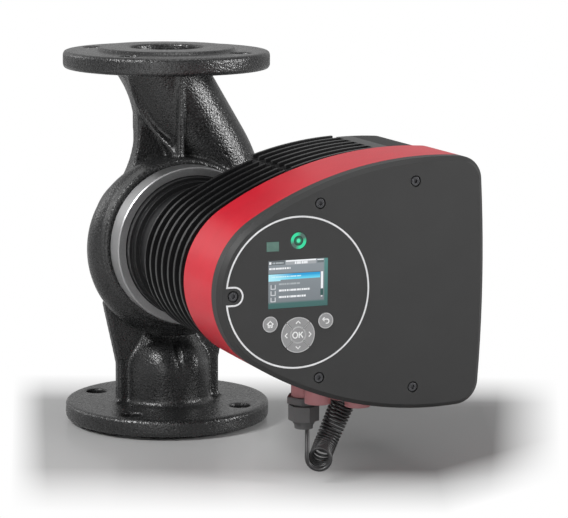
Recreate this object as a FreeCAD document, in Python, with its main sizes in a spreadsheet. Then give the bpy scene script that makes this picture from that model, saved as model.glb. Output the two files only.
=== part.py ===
"""Flanged in-line circulator pump with a canned motor and an electronic control head.

Frame: +Z runs up the pipe, the origin is the centre of the lower flange's sealing face, and the
control panel looks along -Y. Every sub-part is drawn about the crossing of the pipe axis and the
motor axis and is then lifted to its height by its Placement. A "reach" is a distance in front of
the pipe axis, so a point at reach 61 lies at Y = -61.
"""
import FreeCAD, Part
import math
import os
from types import SimpleNamespace

import Sketcher

SIZES = {
    # pipe connection
    "port_to_port": 340.0,
    "port_radius": 32.5,
    "suction_bore_length": 28.0,
    "discharge_bore_length": 18.0,
    "throat_depth": 33.0,
    "throat_wall": 6.0,
    "flange_radius": 92.5,
    "flange_thickness": 15.7,
    "raised_face_radius": 61.0,
    "raised_face_height": 3.0,
    "flange_edge_radius": 3.5,
    "foot_fillet": 5.0,
    "bolt_circle_radius": 72.5,
    "bolt_hole_radius": 9.5,
    "bolt_count": 4.0,
    # cast pump housing
    "volute_radius": 82.2,
    "volute_shift_x": 0.6,
    "volute_shift_z": -7.0,
    "volute_tube_radius": 24.0,
    "volute_tube_reach": 22.0,
    "collar_radius": 74.3,
    "collar_back_reach": 30.0,
    "collar_front_reach": 46.0,
    "bowl_radius": 51.0,
    "bowl_end_reach": -74.0,
    "bowl_round": 17.0,
    "casting_wall": 8.7,
    "neck_radius": 38.5,
    "neck_dome_foot": -121.0,
    "neck_dome_top": -92.0,
    "neck_dome_round": 28.0,
    "elbow_radius": 35.0,
    "elbow_bend_height": -142.0,
    "elbow_bend_radius": 52.0,
    "elbow_lean": 48.0,
    "elbow_top": -12.0,
    "duct_radius": 36.0,
    "duct_offset_x": 55.5,
    "duct_reach": 4.0,
    "duct_bend_height": 16.0,
    "duct_bend_radius": 120.0,
    "duct_lean": 31.0,
    "duct_length": 132.0,
    "throat_length": 86.0,
    "lower_web_half_width": 48.5,
    "lower_web_spread": 61.0,
    "lower_web_bend": -115.0,
    "lower_web_top": -58.0,
    "lower_web_thickness": 11.0,
    "upper_web_left_top": 50.0,
    "upper_web_left_foot": 51.0,
    "upper_web_foot": 40.0,
    "upper_web_curve": 84.0,
    "upper_web_right": 30.0,
    "upper_web_thickness": 15.0,
    "rib_thickness": 6.0,
    "rear_rib_thickness": 14.0,
    "rear_rib_reach": -80.0,
    "rib_reach": 40.0,
    "eye_wall": 10.0,
    # impeller
    "impeller_radius": 54.0,
    "impeller_back_reach": 14.0,
    "impeller_outlet_width": 10.0,
    "impeller_shroud": 3.0,
    "impeller_eye_radius": 27.0,
    "vane_count": 6.0,
    "vane_start_radius": 16.0,
    "vane_wrap": 60.0,
    "vane_curve": 45.0,
    "vane_taper": 4.0,
    "hub_radius": 11.0,
    "hub_back_reach": 19.0,
    "hub_front_reach": 34.0,
    "impeller_nut_flats": 18.0,
    "impeller_nut_height": 5.5,
    "neck_ring_wall": 3.5,
    "neck_ring_gap": 0.4,
    # joint between pump and motor
    "split_reach": 61.0,
    "rim_radius": 66.0,
    "rim_width": 9.0,
    "spigot_radius": 58.0,
    "spigot_gap": 0.3,
    "mouth_radius": 55.0,
    "shoulder_reach": 48.0,
    "band_radius": 70.3,
    "band_rear_reach": 50.5,
    "band_front_reach": 72.0,
    "band_lip": 3.0,
    "band_gap": 0.35,
    "band_opening": 16.0,
    "band_lug_height": 10.0,
    "band_lug_reach": 86.0,
    "clamp_screw_x": 78.0,
    "clamp_screw_radius": 3.0,
    "clamp_head_radius": 5.0,
    "clamp_head_height": 5.0,
    "o_ring_radius": 1.6,
    "o_ring_reach": 58.1,
    # motor
    "plate_thickness": 3.0,
    "plate_dish_reach": 40.0,
    "plate_dish_radius": 44.0,
    "plate_hub_back": 38.0,
    "plate_hub_wall": 4.0,
    "can_flange_reach": 54.0,
    "can_radius": 29.5,
    "can_wall": 0.7,
    "can_flange": 1.0,
    "can_overhang": 36.0,
    "shaft_radius": 6.0,
    "shaft_end_gap": 5.0,
    "shaft_back_reach": 12.0,
    "bearing_gap": 0.04,
    "bearing_radius": 12.0,
    "bearing_length": 16.0,
    "rotor_radius": 27.8,
    "rotor_start_reach": 90.0,
    "rotor_length": 78.0,
    "magnet_count": 8.0,
    "magnet_thickness": 6.0,
    "sleeve_wall": 0.6,
    "stator_radius": 50.0,
    "stator_start_reach": 92.0,
    "stator_length": 74.0,
    "slot_count": 12.0,
    "tooth_width": 6.5,
    "coil_thickness": 3.4,
    "coil_overhang": 9.0,
    "coil_start_radius": 32.5,
    "coil_end_radius": 42.5,
    "yoke_radius": 45.0,
    "motor_wall_radius": 55.0,
    "front_bore_radius": 52.0,
    "front_bore_reach": 170.0,
    "neck_first_radius": 62.3,
    "neck_first_reach": 79.0,
    "neck_second_radius": 59.4,
    "neck_second_reach": 86.0,
    "flare_start_reach": 92.0,
    "flare_radius": 65.5,
    "flare_end_reach": 129.0,
    "shield_gap": 4.0,
    "shield_thickness": 4.0,
    # fins
    "fin_pitch": 14.8,
    "fin_thickness": 3.6,
    "fin_start_reach": 142.2,
    "fin_count": 6.0,
    "fin_inset": 2.3,
    "fin_right_edge": 26.0,
    "sink_left_edge": 32.0,
    "sink_lap": 1.6,
    "sink_left_wall_half": 80.0,
    "sink_right_wall_half": 94.0,
    "sink_cavity_left_half": 74.0,
    "sink_cavity_right_half": 86.0,
    "sink_fin_count": 7.0,
    "sink_shell": 9.0,
    "sink_bore_radius": 56.7,
    "sink_gap": 0.2,
    "sink_ring_radius": 62.0,
    "sink_floor_left": 83.0,
    "sink_floor_right": 97.0,
    "sink_fin_end": 106.0,
    "sink_smooth_reach": 139.0,
    "sink_wall": 6.0,
    "end_cover_edge": 119.0,
    # control box
    "nose_radius": 68.0,
    "box_half_height": 103.0,
    "crest_offset": 122.0,
    "right_edge": 164.0,
    "right_bow_radius": 1205.0,
    "corner_radius": 20.0,
    "band_back_reach": 234.0,
    "cover_back_reach": 298.0,
    "face_reach": 312.0,
    "box_wall": 4.0,
    "floor_hole_radius": 42.0,
    "floor_window_left": 48.0,
    "floor_window_right": 100.0,
    "floor_window_half": 62.0,
    "cover_wall": 3.0,
    "cover_bevel": 3.6,
    "ring_radius": 60.6,
    "ring_width": 1.4,
    "ring_depth": 1.0,
    "ring_notch": 7.3,
    "ring_notch_end": 47.0,
    "screw_head_radius": 3.6,
    "screw_shank_radius": 2.0,
    "screw_recess_radius": 4.6,
    "screw_recess_depth": 2.4,
    "screw_boss_radius": 6.0,
    "screw_clearance": 0.2,
    "screw_length": 30.0,
    "socket_flats": 3.2,
    "screw_head_height": 2.0,
    "box_screw_near": 60.0,
    "box_screw_near_z": 88.0,
    "box_screw_far": 110.5,
    "box_screw_far_z": 92.0,
    "board_post_near": 32.0,
    "board_post_far": 140.0,
    "board_post_z": 66.0,
    "nose_screw_x": -55.0,
    "near_screw_x": 18.4,
    "near_screw_z": 70.2,
    "far_screw_x": 101.0,
    "far_screw_z": 84.1,
    # panel
    "panel_gap": 0.15,
    "display_width": 50.5,
    "display_height": 38.1,
    "display_z": 7.3,
    "window_thickness": 1.5,
    "light_z": 41.5,
    "light_radius": 7.1,
    "signal_x": -21.8,
    "signal_z": 37.8,
    "signal_width": 10.4,
    "signal_height": 7.6,
    "key_radius": 6.3,
    "key_x": 23.8,
    "key_z": -24.1,
    "pad_z": -34.1,
    "pad_radius": 14.3,
    "ok_radius": 6.2,
    "pad_slit": 0.45,
    "key_gap": 0.25,
    "key_travel": 0.6,
    "key_foot": 1.6,
    "key_foot_thickness": 1.2,
    "key_back_reach": 307.6,
    "key_proud": 0.4,
    "ledge": 1.5,
    "gasket_depth": 1.2,
    "board_reach": 303.0,
    "board_thickness": 1.6,
    "board_half_width": 33.0,
    "board_half_height": 50.0,
    "power_board_inset": 28.0,
    "power_board_right": 148.0,
    "power_board_left_z": 72.0,
    "board_clearance": 1.0,
    "module_x": 74.0,
    "module_z": 26.0,
    "module_width": 40.0,
    "module_height": 26.0,
    "module_depth": 8.0,
    "choke_x": 132.0,
    "choke_z": 52.0,
    "choke_radius": 12.0,
    "choke_height": 18.0,
    "capacitor_x": 118.0,
    "capacitor_pitch": 24.0,
    "capacitor_radius": 10.0,
    "capacitor_height": 30.0,
    "terminal_height": 12.0,
    "terminal_depth": 14.0,
    "mains_block_x": 48.0,
    "mains_block_z": -58.0,
    "mains_block_width": 30.0,
    "signal_block_x": 84.0,
    "signal_block_z": -62.0,
    "signal_block_width": 26.0,
    "terminal_pitch": 9.0,
    "terminal_screw_radius": 1.8,
    # cable entries, glands and cord
    "front_row_inset": 51.0,
    "rear_row_inset": 22.0,
    "left_entry_x": 28.8,
    "right_entry_x": 64.1,
    "entry_radius": 10.6,
    "left_entry_bottom": -97.2,
    "right_entry_bottom": -102.4,
    "entry_height": 20.0,
    "entry_bore_radius": 7.6,
    "gland_collar_flats": 25.6,
    "gland_collar_height": 5.6,
    "gland_neck_radius": 9.2,
    "gland_neck_height": 2.2,
    "gland_thread_radius": 8.0,
    "gland_thread_height": 6.0,
    "gland_bore_radius": 6.0,
    "gland_nut_flats": 26.6,
    "gland_nut_height": 12.8,
    "gland_dome_radius": 10.8,
    "gland_dome_height": 6.6,
    "seal_height": 6.0,
    "fitting_radius": 9.4,
    "fitting_height": 2.6,
    "cord_radius": 2.05,
    "cord_bend_height": -126.0,
    "cord_bend_radius": 14.0,
    "cord_lean": 26.0,
    "cord_run": 18.0,
    "coil_radius": 11.0,
    "coil_yaw": -26.8,
    "coil_pitch": 22.2,
    "coil_start": 2.4,
    "coil_drop": 24.0,
    "coil_bend": 22.0,
    "coil_run": 4.7,
}


class Size:
    """A number together with the spreadsheet expression that it comes from."""

    def __init__(self, value, text):
        self.value = float(value)
        self.text = text

    def join(self, other, sign, value):
        return Size(value, "(%s %s %s)" % (self.text, sign, other.text))

    def __add__(self, other):
        other = size_of(other)
        return self.join(other, "+", self.value + other.value)

    def __sub__(self, other):
        other = size_of(other)
        return self.join(other, "-", self.value - other.value)

    def __mul__(self, other):
        other = size_of(other)
        return self.join(other, "*", self.value * other.value)

    def __truediv__(self, other):
        other = size_of(other)
        return self.join(other, "/", self.value / other.value)

    def __rtruediv__(self, other):
        return size_of(other) / self

    def __neg__(self):
        return size_of(0) - self

    def __radd__(self, other):
        return size_of(other) + self

    def __rsub__(self, other):
        return size_of(other) - self

    def __rmul__(self, other):
        return size_of(other) * self


def size_of(item):
    """Wrap a plain number, and pass a Size on."""
    if isinstance(item, Size):
        return item
    text = "%r" % float(item)
    return Size(item, text if item >= 0 else "(%s)" % text)


def cosine(degrees):
    degrees = size_of(degrees)
    return Size(math.cos(math.radians(degrees.value)), "cos(%s * 1 deg)" % degrees.text)


def sine(degrees):
    degrees = size_of(degrees)
    return Size(math.sin(math.radians(degrees.value)), "sin(%s * 1 deg)" % degrees.text)


def root(item):
    return Size(math.sqrt(item.value), "sqrt(%s)" % item.text)


doc = FreeCAD.newDocument("circulator_pump")
sheet = doc.addObject("Spreadsheet::Sheet", "sizes")
s = SimpleNamespace()
for row, (alias, number) in enumerate(SIZES.items(), start=1):
    sheet.set("A%d" % row, alias)
    sheet.set("B%d" % row, repr(number))
    sheet.setAlias("B%d" % row, alias)
    setattr(s, alias, Size(number, "sizes." + alias))
doc.recompute()

# heights and radii that follow from the driving sizes
s.axis_height = s.port_to_port / 2
s.crest_radius = ((s.crest_offset * s.crest_offset + s.box_half_height * s.box_half_height
                   - s.nose_radius * s.nose_radius) / (2 * (s.box_half_height - s.nose_radius)))
s.notch_centre_x = -s.ring_notch_end - s.ring_notch
s.front_row_reach = s.band_back_reach + s.front_row_inset
s.rear_row_reach = s.band_back_reach + s.rear_row_inset
s.power_board_reach = s.band_back_reach + s.power_board_inset
s.can_end_reach = s.rotor_start_reach + s.rotor_length + s.can_overhang
s.shaft_front_reach = s.can_end_reach - s.shaft_end_gap
s.shield_reach = s.can_end_reach + s.shield_gap
s.sink_start_reach = s.flare_end_reach - s.sink_lap


# ---------------------------------------------------------------- sketching and feature helpers

def bind(item, name, value):
    """Tie one property of a document object to the spreadsheet."""
    item.setExpression(name, size_of(value).text)


def new_body(label):
    body = doc.addObject("PartDesign::Body", label)
    body.Label = label
    bind(body, "Placement.Base.z", s.axis_height)
    return body


def origin_item(body, role):
    return [item for item in body.Origin.OriginFeatures if item.Role == role][0]


def new_sketch(body, name, role, offset=0):
    sketch = body.newObject("Sketcher::SketchObject", name)
    sketch.AttachmentSupport = [(origin_item(body, role), "")]
    sketch.MapMode = "FlatFace"
    bind(sketch, "AttachmentOffset.Base.z", offset)
    return sketch


def facing(body, name, reach):
    """A sketch that looks at the control panel: x to the right, y up, at this reach."""
    return new_sketch(body, name, "XZ_Plane", reach)


def level(body, name, height):
    """A horizontal sketch at this height above the motor axis."""
    return new_sketch(body, name, "XY_Plane", height)


def constrain(sketch, rules):
    """Add rules given as (kind, arguments, size); a size of None takes no expression."""
    start = sketch.ConstraintCount
    made = [Sketcher.Constraint(kind, *(places if value is None else places + (size_of(value).value,)))
            for kind, places, value in rules]
    sketch.addConstraint(made)
    for index, (kind, places, value) in enumerate(rules):
        if isinstance(value, Size):
            sketch.setExpression("Constraints[%d]" % (start + index), value.text)


def vector(x, y):
    return FreeCAD.Vector(size_of(x).value, size_of(y).value, 0)


def arc(centre, radius, begin, finish):
    """Anticlockwise arc about a centre between the directions of two points."""
    first, last = (math.atan2(point.y - centre.y, point.x - centre.x) for point in (begin, finish))
    if last <= first:
        last += 2 * math.pi
    return Part.ArcOfCircle(Part.Circle(centre, FreeCAD.Vector(0, 0, 1), radius), first, last)


def draw(sketch, corners, closed=True):
    """One outline. A corner is (x, y), or (x, y, radius, turn) where an arc of that radius leads on to
    the next corner, turning left (+1) or right (-1)."""
    base = sketch.GeometryCount
    count = len(corners)
    edges, rules, starts, ends = [], [], [], []
    for index, corner in enumerate(corners if closed else corners[:-1]):
        here = vector(corner[0], corner[1])
        there = vector(*corners[(index + 1) % count][:2])
        if len(corner) == 2:
            edges.append(Part.LineSegment(here, there))
            starts.append(1)
            ends.append(2)
            continue
        radius, turn = size_of(corner[2]), corner[3]
        chord = there.sub(here)
        rise = math.sqrt(max(radius.value ** 2 - chord.Length ** 2 / 4, 0)) / chord.Length * turn
        centre = (here + there) * 0.5 + FreeCAD.Vector(-chord.y, chord.x, 0) * rise
        edges.append(arc(centre, radius.value, *((here, there) if turn > 0 else (there, here))))
        starts.append(1 if turn > 0 else 2)
        ends.append(2 if turn > 0 else 1)
        rules.append(("Radius", (base + index,), radius))
    for index, corner in enumerate(corners):
        before = (index - 1) % count
        joined = closed or 0 < index < count - 1
        point = (base + index, starts[index]) if index < len(edges) else (base + before, ends[before])
        if joined:
            rules.append(("Coincident", (base + before, ends[before]) + point, None))
        rules.append(("DistanceX", (-1, 1) + point, corner[0]))
        rules.append(("DistanceY", (-1, 1) + point, corner[1]))
    sketch.addGeometry(edges, False)
    constrain(sketch, rules)


def draw_circle(sketch, x, y, radius):
    edge = sketch.GeometryCount
    sketch.addGeometry(Part.Circle(vector(x, y), FreeCAD.Vector(0, 0, 1), size_of(radius).value), False)
    constrain(sketch, [("Radius", (edge,), radius),
                       ("DistanceX", (-1, 1, edge, 3), x),
                       ("DistanceY", (-1, 1, edge, 3), y)])


def rectangle(left, bottom, right, top):
    return [(left, bottom), (right, bottom), (right, top), (left, top)]


def rounded(left, bottom, right, top, radius):
    """Corners of a rectangle whose four corners are rounded."""
    return [(left + radius, bottom), (right - radius, bottom, radius, 1),
            (right, bottom + radius), (right, top - radius, radius, 1),
            (right - radius, top), (left + radius, top, radius, 1),
            (left, top - radius), (left, bottom + radius, radius, 1)]


def hexagon(x, y, flats):
    """Corners of a hexagon with two flats square to the sketch's y direction."""
    corner = flats / (2 * math.cos(math.radians(30)))
    return [(x + corner * math.cos(math.radians(angle)), y + corner * math.sin(math.radians(angle)))
            for angle in range(0, 360, 60)]


def draw_box_outline(sketch, inset):
    """The control box seen from the front: a round nose about the motor axis that opens through two
    long arcs to a bowed right edge with rounded corners."""
    nose = s.nose_radius - inset
    crest = s.crest_radius - inset
    bow = s.right_bow_radius - inset
    corner = s.corner_radius - inset
    crest_z = s.box_half_height - s.crest_radius
    bow_x = s.right_edge - s.right_bow_radius
    zero = FreeCAD.Vector(0, 0, 0)
    crest_centre = vector(s.crest_offset, crest_z)
    bow_centre = vector(bow_x, 0)
    # the corner arc touches the crest arc and the bow from inside
    span = crest_centre.sub(bow_centre)
    near, far = bow.value - corner.value, crest.value - corner.value
    along = (span.Length ** 2 + near ** 2 - far ** 2) / (2 * span.Length)
    across = math.sqrt(near ** 2 - along ** 2)
    unit = span / span.Length
    corner_centre = bow_centre + unit * along + FreeCAD.Vector(-unit.y, unit.x, 0) * across
    crest_touch = crest_centre + (corner_centre.sub(crest_centre)).normalize() * crest.value
    bow_touch = bow_centre + (corner_centre.sub(bow_centre)).normalize() * bow.value
    nose_touch = (zero.sub(crest_centre)).normalize() * nose.value

    def mirror(point):
        return FreeCAD.Vector(point.x, -point.y, 0)

    base = sketch.GeometryCount
    sketch.addGeometry([
        arc(zero, nose.value, nose_touch, mirror(nose_touch)),
        arc(mirror(crest_centre), crest.value, mirror(nose_touch), mirror(crest_touch)),
        arc(mirror(corner_centre), corner.value, mirror(crest_touch), mirror(bow_touch)),
        arc(bow_centre, bow.value, mirror(bow_touch), bow_touch),
        arc(corner_centre, corner.value, bow_touch, crest_touch),
        arc(crest_centre, crest.value, crest_touch, nose_touch)], False)
    rules = [("Tangent", (base + edge, 2, base + (edge + 1) % 6, 1), None) for edge in range(6)]
    rules += [("Coincident", (base, 3, -1, 1), None), ("Radius", (base,), nose),
              ("Radius", (base + 1,), crest), ("DistanceX", (-1, 1, base + 1, 3), s.crest_offset),
              ("Radius", (base + 5,), crest), ("DistanceX", (-1, 1, base + 5, 3), s.crest_offset),
              ("Radius", (base + 3,), bow), ("PointOnObject", (base + 3, 3, -1), None),
              ("DistanceX", (-1, 1, base + 3, 3), bow_x),
              ("Radius", (base + 2,), corner), ("Radius", (base + 4,), corner)]
    constrain(sketch, rules)


def pad(body, name, sketch, length):
    feature = body.newObject("PartDesign::Pad", name)
    feature.Profile = sketch
    bind(feature, "Length", length)
    return feature


def pocket(body, name, sketch, length):
    feature = body.newObject("PartDesign::Pocket", name)
    feature.Profile = sketch
    bind(feature, "Length", length)
    return feature


def slab(body, name, back, front, *outlines):
    """Material between two reaches, from outlines or drawing functions seen from the front."""
    sketch = facing(body, name + "_sketch", back)
    fill(sketch, outlines)
    return pad(body, name, sketch, front - back)


def recess(body, name, back, front, *outlines):
    """A cut between two reaches."""
    sketch = facing(body, name + "_sketch", front)
    fill(sketch, outlines)
    return pocket(body, name, sketch, front - back)


def fill(sketch, outlines):
    """Draw each outline: a list of corners, a circle (x, y, radius), or the box outline's inset."""
    for outline in outlines:
        if isinstance(outline, list):
            draw(sketch, outline)
        elif isinstance(outline, tuple):
            draw_circle(sketch, *outline)
        else:
            draw_box_outline(sketch, outline)


def revolve(body, kind, name, sketch):
    feature = body.newObject("PartDesign::" + kind, name)
    feature.Profile = sketch
    feature.ReferenceAxis = (sketch, ["V_Axis"])
    feature.Angle = 360
    return feature


def motor_profile(body, name, corners):
    """A half section (radius, reach) about the motor axis; arcs keep their sense as listed."""
    sketch = level(body, name, 0)
    draw(sketch, [(corner[0], -size_of(corner[1])) + tuple(corner[2:]) for corner in corners])
    return sketch


def turned(body, name, *corners):
    return revolve(body, "Revolution", name, motor_profile(body, name + "_sketch", corners))


def bored(body, name, *corners):
    return revolve(body, "Groove", name, motor_profile(body, name + "_sketch", corners))


def disc(inner, outer, back, front):
    """Half section of a plain ring or disc about the motor axis."""
    return [(inner, back), (outer, back), (outer, front), (inner, front)]


def swept(body, name, path, profile, radius):
    """A round tube of this radius along a path sketch."""
    draw_circle(profile, 0, 0, radius)
    feature = body.newObject("PartDesign::AdditivePipe", name)
    feature.Profile = profile
    feature.Spine = (path, ["Edge%d" % (edge + 1) for edge in range(path.GeometryCount)])
    return feature


def bar(body, kind, name, x, y, radius, bottom, top):
    """An upright round bar (Pad) or bore (Pocket) between two heights."""
    sketch = level(body, name + "_sketch", bottom if kind == "Pad" else top)
    draw_circle(sketch, x, y, radius)
    return (pad if kind == "Pad" else pocket)(body, name, sketch, top - bottom)


def bend(body, kind, name, x, y, radius, height, role, centre, lean, downward=False):
    """A bent round bar or bore: a circle at this height, turned about an axis level with it."""
    sketch = level(body, name + "_sketch", height)
    draw_circle(sketch, x, y, radius)
    along = (0, 1) if role == "Y" else (1, 0)
    first = (centre, y) if role == "Y" else (x, centre)
    last = (first[0] + along[0], first[1] + along[1])
    axis = sketch.addGeometry(Part.LineSegment(vector(*first), vector(*last)), True)
    constrain(sketch, [("DistanceX", (-1, 1, axis, 1), first[0]), ("DistanceY", (-1, 1, axis, 1), first[1]),
                       ("DistanceX", (-1, 1, axis, 2), last[0]), ("DistanceY", (-1, 1, axis, 2), last[1])])
    feature = revolve(body, kind, name, sketch)
    feature.ReferenceAxis = (sketch, ["Axis0"])
    bind(feature, "Angle", lean)
    feature.Reversed = not downward
    return feature


def leaning(body, kind, name, reach, foot, lean, radius, length):
    """A straight round bar or bore from a foot point, leaning to the left by an angle."""
    sketch = facing(body, name + "_sketch", reach)
    up, across = (-sine(lean), cosine(lean)), (cosine(lean), sine(lean))
    head = (foot[0] + length * up[0], foot[1] + length * up[1])
    side = (radius * across[0], radius * across[1])
    draw(sketch, [foot, (foot[0] + side[0], foot[1] + side[1]),
                  (head[0] + side[0], head[1] + side[1]), head])
    axis = sketch.addGeometry(Part.LineSegment(vector(*foot), vector(*head)), True)
    constrain(sketch, [("DistanceX", (-1, 1, axis, 1), foot[0]), ("DistanceY", (-1, 1, axis, 1), foot[1]),
                       ("DistanceX", (-1, 1, axis, 2), head[0]), ("DistanceY", (-1, 1, axis, 2), head[1])])
    feature = revolve(body, kind, name, sketch)
    feature.ReferenceAxis = (sketch, ["Axis0"])
    return feature


def repeat_round(body, name, features, count, role="Y_Axis"):
    pattern = body.newObject("PartDesign::PolarPattern", name)
    pattern.Originals = features
    pattern.Axis = (origin_item(body, role), [""])
    pattern.Angle = 360
    bind(pattern, "Occurrences", count)
    body.Tip = pattern
    return pattern


def repeat_forward(body, name, features, pitch, count):
    """Copies spaced along the motor axis, away from the pipe."""
    pattern = body.newObject("PartDesign::LinearPattern", name)
    pattern.Originals = features
    pattern.Direction = (origin_item(body, "Y_Axis"), [""])
    pattern.Reversed = True
    bind(pattern, "Length", pitch * (count - 1))
    bind(pattern, "Occurrences", count)
    body.Tip = pattern
    return pattern


# ---------------------------------------------------------------- pump

def pump_housing():
    """Cast housing: two flanges, the domed suction neck and its elbow, the volute with its leaning
    discharge duct, the webs that tie them together, and the water passages inside."""
    body = new_body("pump_housing")
    top = s.axis_height
    under_flange = top - s.raised_face_height - s.flange_thickness
    volute(body, "Revolution", "volute_casing", 0)
    # front collar and clamp rim, and the suction bowl behind
    groove = s.rim_radius - s.band_lip - s.band_gap
    turned(body, "collar", (0, s.collar_back_reach), (s.collar_radius, s.collar_back_reach),
           (s.collar_radius, s.collar_front_reach), (groove, s.collar_front_reach),
           (groove, s.split_reach - s.rim_width), (s.rim_radius, s.split_reach - s.rim_width),
           (s.rim_radius, s.split_reach), (0, s.split_reach))
    turned(body, "suction_bowl", *bowl_section(0, 0))
    # flanges
    for name, sign in (("upper", 1), ("lower", -1)):
        sketch = new_sketch(body, name + "_flange_sketch", "XZ_Plane")
        face, shoulder, inner = top * sign, (top - s.raised_face_height) * sign, under_flange * sign
        bend = s.flange_edge_radius
        rim = s.flange_radius
        draw(sketch, [(0, face), (s.raised_face_radius, face), (s.raised_face_radius, shoulder),
                      (rim - bend, shoulder, bend, -sign), (rim, shoulder - bend * sign),
                      (rim, inner + bend * sign, bend, -sign), (rim - bend, inner), (0, inner)])
        revolve(body, "Revolution", name + "_flange", sketch)
    # discharge duct, run on through the upper flange and trimmed off at its face
    duct(body, True, "duct", s.duct_radius, s.duct_length)
    # suction neck with its domed front, and the elbow behind it that rises into the bowl
    sketch = new_sketch(body, "neck_sketch", "XZ_Plane")
    shoulder = s.neck_radius - s.neck_dome_round
    draw(sketch, [(0, -under_flange - 1), (s.neck_radius, -under_flange - 1),
                  (s.neck_radius, s.neck_dome_foot, s.neck_dome_round, 1),
                  (shoulder, s.neck_dome_foot + s.neck_dome_round), (0, s.neck_dome_top)])
    revolve(body, "Revolution", "suction_neck", sketch)
    sketch = new_sketch(body, "neck_foot_sketch", "XZ_Plane")
    foot, edge = s.foot_fillet, s.neck_radius
    draw(sketch, [(edge - 2, -under_flange - 1), (edge + foot, -under_flange - 1),
                  (edge + foot, -under_flange, foot, -1), (edge, foot - under_flange),
                  (edge - 2, foot - under_flange)])
    revolve(body, "Revolution", "neck_foot", sketch)
    elbow(body, True, "elbow", s.elbow_radius)
    # webs on the mid plane, and the rib down the front of the upper neck
    half, spread = s.lower_web_half_width, s.lower_web_spread
    thick = s.lower_web_thickness / 2
    slab(body, "lower_web", -thick, thick,
         [(-half - foot, -under_flange - 1), (half + foot, -under_flange - 1),
          (half + foot, -under_flange, foot, -1), (half, foot - under_flange), (half, s.lower_web_bend),
          (spread, s.lower_web_top), (-spread, s.lower_web_top), (-half, s.lower_web_bend),
          (-half, foot - under_flange, foot, -1), (-half - foot, -under_flange)])
    thick = s.upper_web_thickness / 2
    slab(body, "upper_web", -thick, thick,
         [(-s.upper_web_left_foot, s.upper_web_foot), (s.upper_web_right, s.upper_web_foot),
          (s.upper_web_right, under_flange + 1),
          (-s.upper_web_left_top, under_flange + 1, s.upper_web_curve, -1)])
    slab(body, "front_rib", 0, s.rib_reach,
         rectangle(-s.rib_thickness / 2, s.collar_radius - 6, s.rib_thickness / 2, under_flange + 1))
    sketch = level(body, "trim_sketch", top + 60)
    draw_circle(sketch, 0, 0, s.flange_radius + 60)
    pocket(body, "trim_above_face", sketch, 60)
    # water passages
    bar(body, "Pocket", "throat", 0, -s.duct_reach, s.duct_radius - s.throat_wall, top - s.throat_depth,
        top - s.discharge_bore_length)
    duct(body, False, "discharge", s.duct_radius - s.casting_wall, s.throat_length)
    elbow(body, False, "suction", s.elbow_radius - s.casting_wall)
    bored(body, "suction_chamber", *bowl_section(s.casting_wall, chamber_back() - s.eye_wall))
    volute(body, "Groove", "volute_chamber", s.casting_wall)
    bored(body, "front_opening", (0, s.volute_tube_reach), (s.mouth_radius, s.volute_tube_reach),
          (s.mouth_radius, s.shoulder_reach), (s.spigot_radius + s.spigot_gap, s.shoulder_reach),
          (s.spigot_radius + s.spigot_gap, s.split_reach + 1), (0, s.split_reach + 1))
    bored(body, "eye_bore", *disc(0, neck_ring_outer(), chamber_back() - s.eye_wall - 1,
                                  chamber_back() + 1))
    # bolt holes astride the centre lines
    diagonal = s.bolt_circle_radius * cosine(45)
    for name, sign in (("upper", 1), ("lower", -1)):
        sketch = level(body, name + "_bolt_sketch", top * sign)
        draw_circle(sketch, diagonal, diagonal, s.bolt_hole_radius)
        hole = pocket(body, name + "_bolt_hole", sketch, s.flange_thickness + s.raised_face_height + 3)
        hole.Reversed = sign < 0
        repeat_round(body, name + "_bolt_holes", [hole], s.bolt_count, "Z_Axis")
    rear_ribs(body, under_flange + 1)
    # ports, which trim the roots of the ribs
    for name, sign, length in (("upper", 1, s.discharge_bore_length), ("lower", -1, s.suction_bore_length)):
        sketch = level(body, name + "_port_sketch", top * sign)
        draw_circle(sketch, 0, 0, s.port_radius)
        port = pocket(body, name + "_port", sketch, length)
        port.Reversed = sign < 0
    return body


def rear_ribs(body, height):
    """Ribs behind the housing, from the bowl to both flanges, rooted half way into the walls."""
    wall, tip = s.casting_wall / 2, s.bowl_radius - s.bowl_round
    side, end = s.bowl_radius - wall, -s.bowl_end_reach - wall / 2
    inner = s.elbow_bend_radius - s.elbow_radius + wall
    outer = s.elbow_bend_radius + s.elbow_radius - wall / 2
    turn, rise = s.elbow_bend_radius * 2 * cosine(s.elbow_lean), s.elbow_bend_radius * 2 * sine(s.elbow_lean)
    centre = s.elbow_bend_radius - turn
    top = s.elbow_bend_height + rise
    half = s.elbow_lean / 2
    upper = [(s.duct_radius - s.duct_reach - wall, height), (-s.rear_rib_reach, height), (end, tip),
             (end - s.bowl_round + wall, side), (s.duct_radius - s.duct_reach - wall, side)]
    lower = [(s.elbow_radius - wall, -height), (-s.rear_rib_reach, -height), (end, -tip),
             (centre + outer, top + wall), (centre + outer, top),
             (centre + outer * cosine(half), top - outer * sine(half)),
             (centre + outer * cosine(s.elbow_lean), top - outer * sine(s.elbow_lean)),
             (s.elbow_bend_radius - inner, s.elbow_bend_height)]
    for name, outline in (("upper", upper), ("lower", lower)):
        sketch = new_sketch(body, name + "_rear_rib_sketch", "YZ_Plane", -s.rear_rib_thickness / 2)
        draw(sketch, outline)
        pad(body, name + "_rear_rib", sketch, s.rear_rib_thickness)


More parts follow.
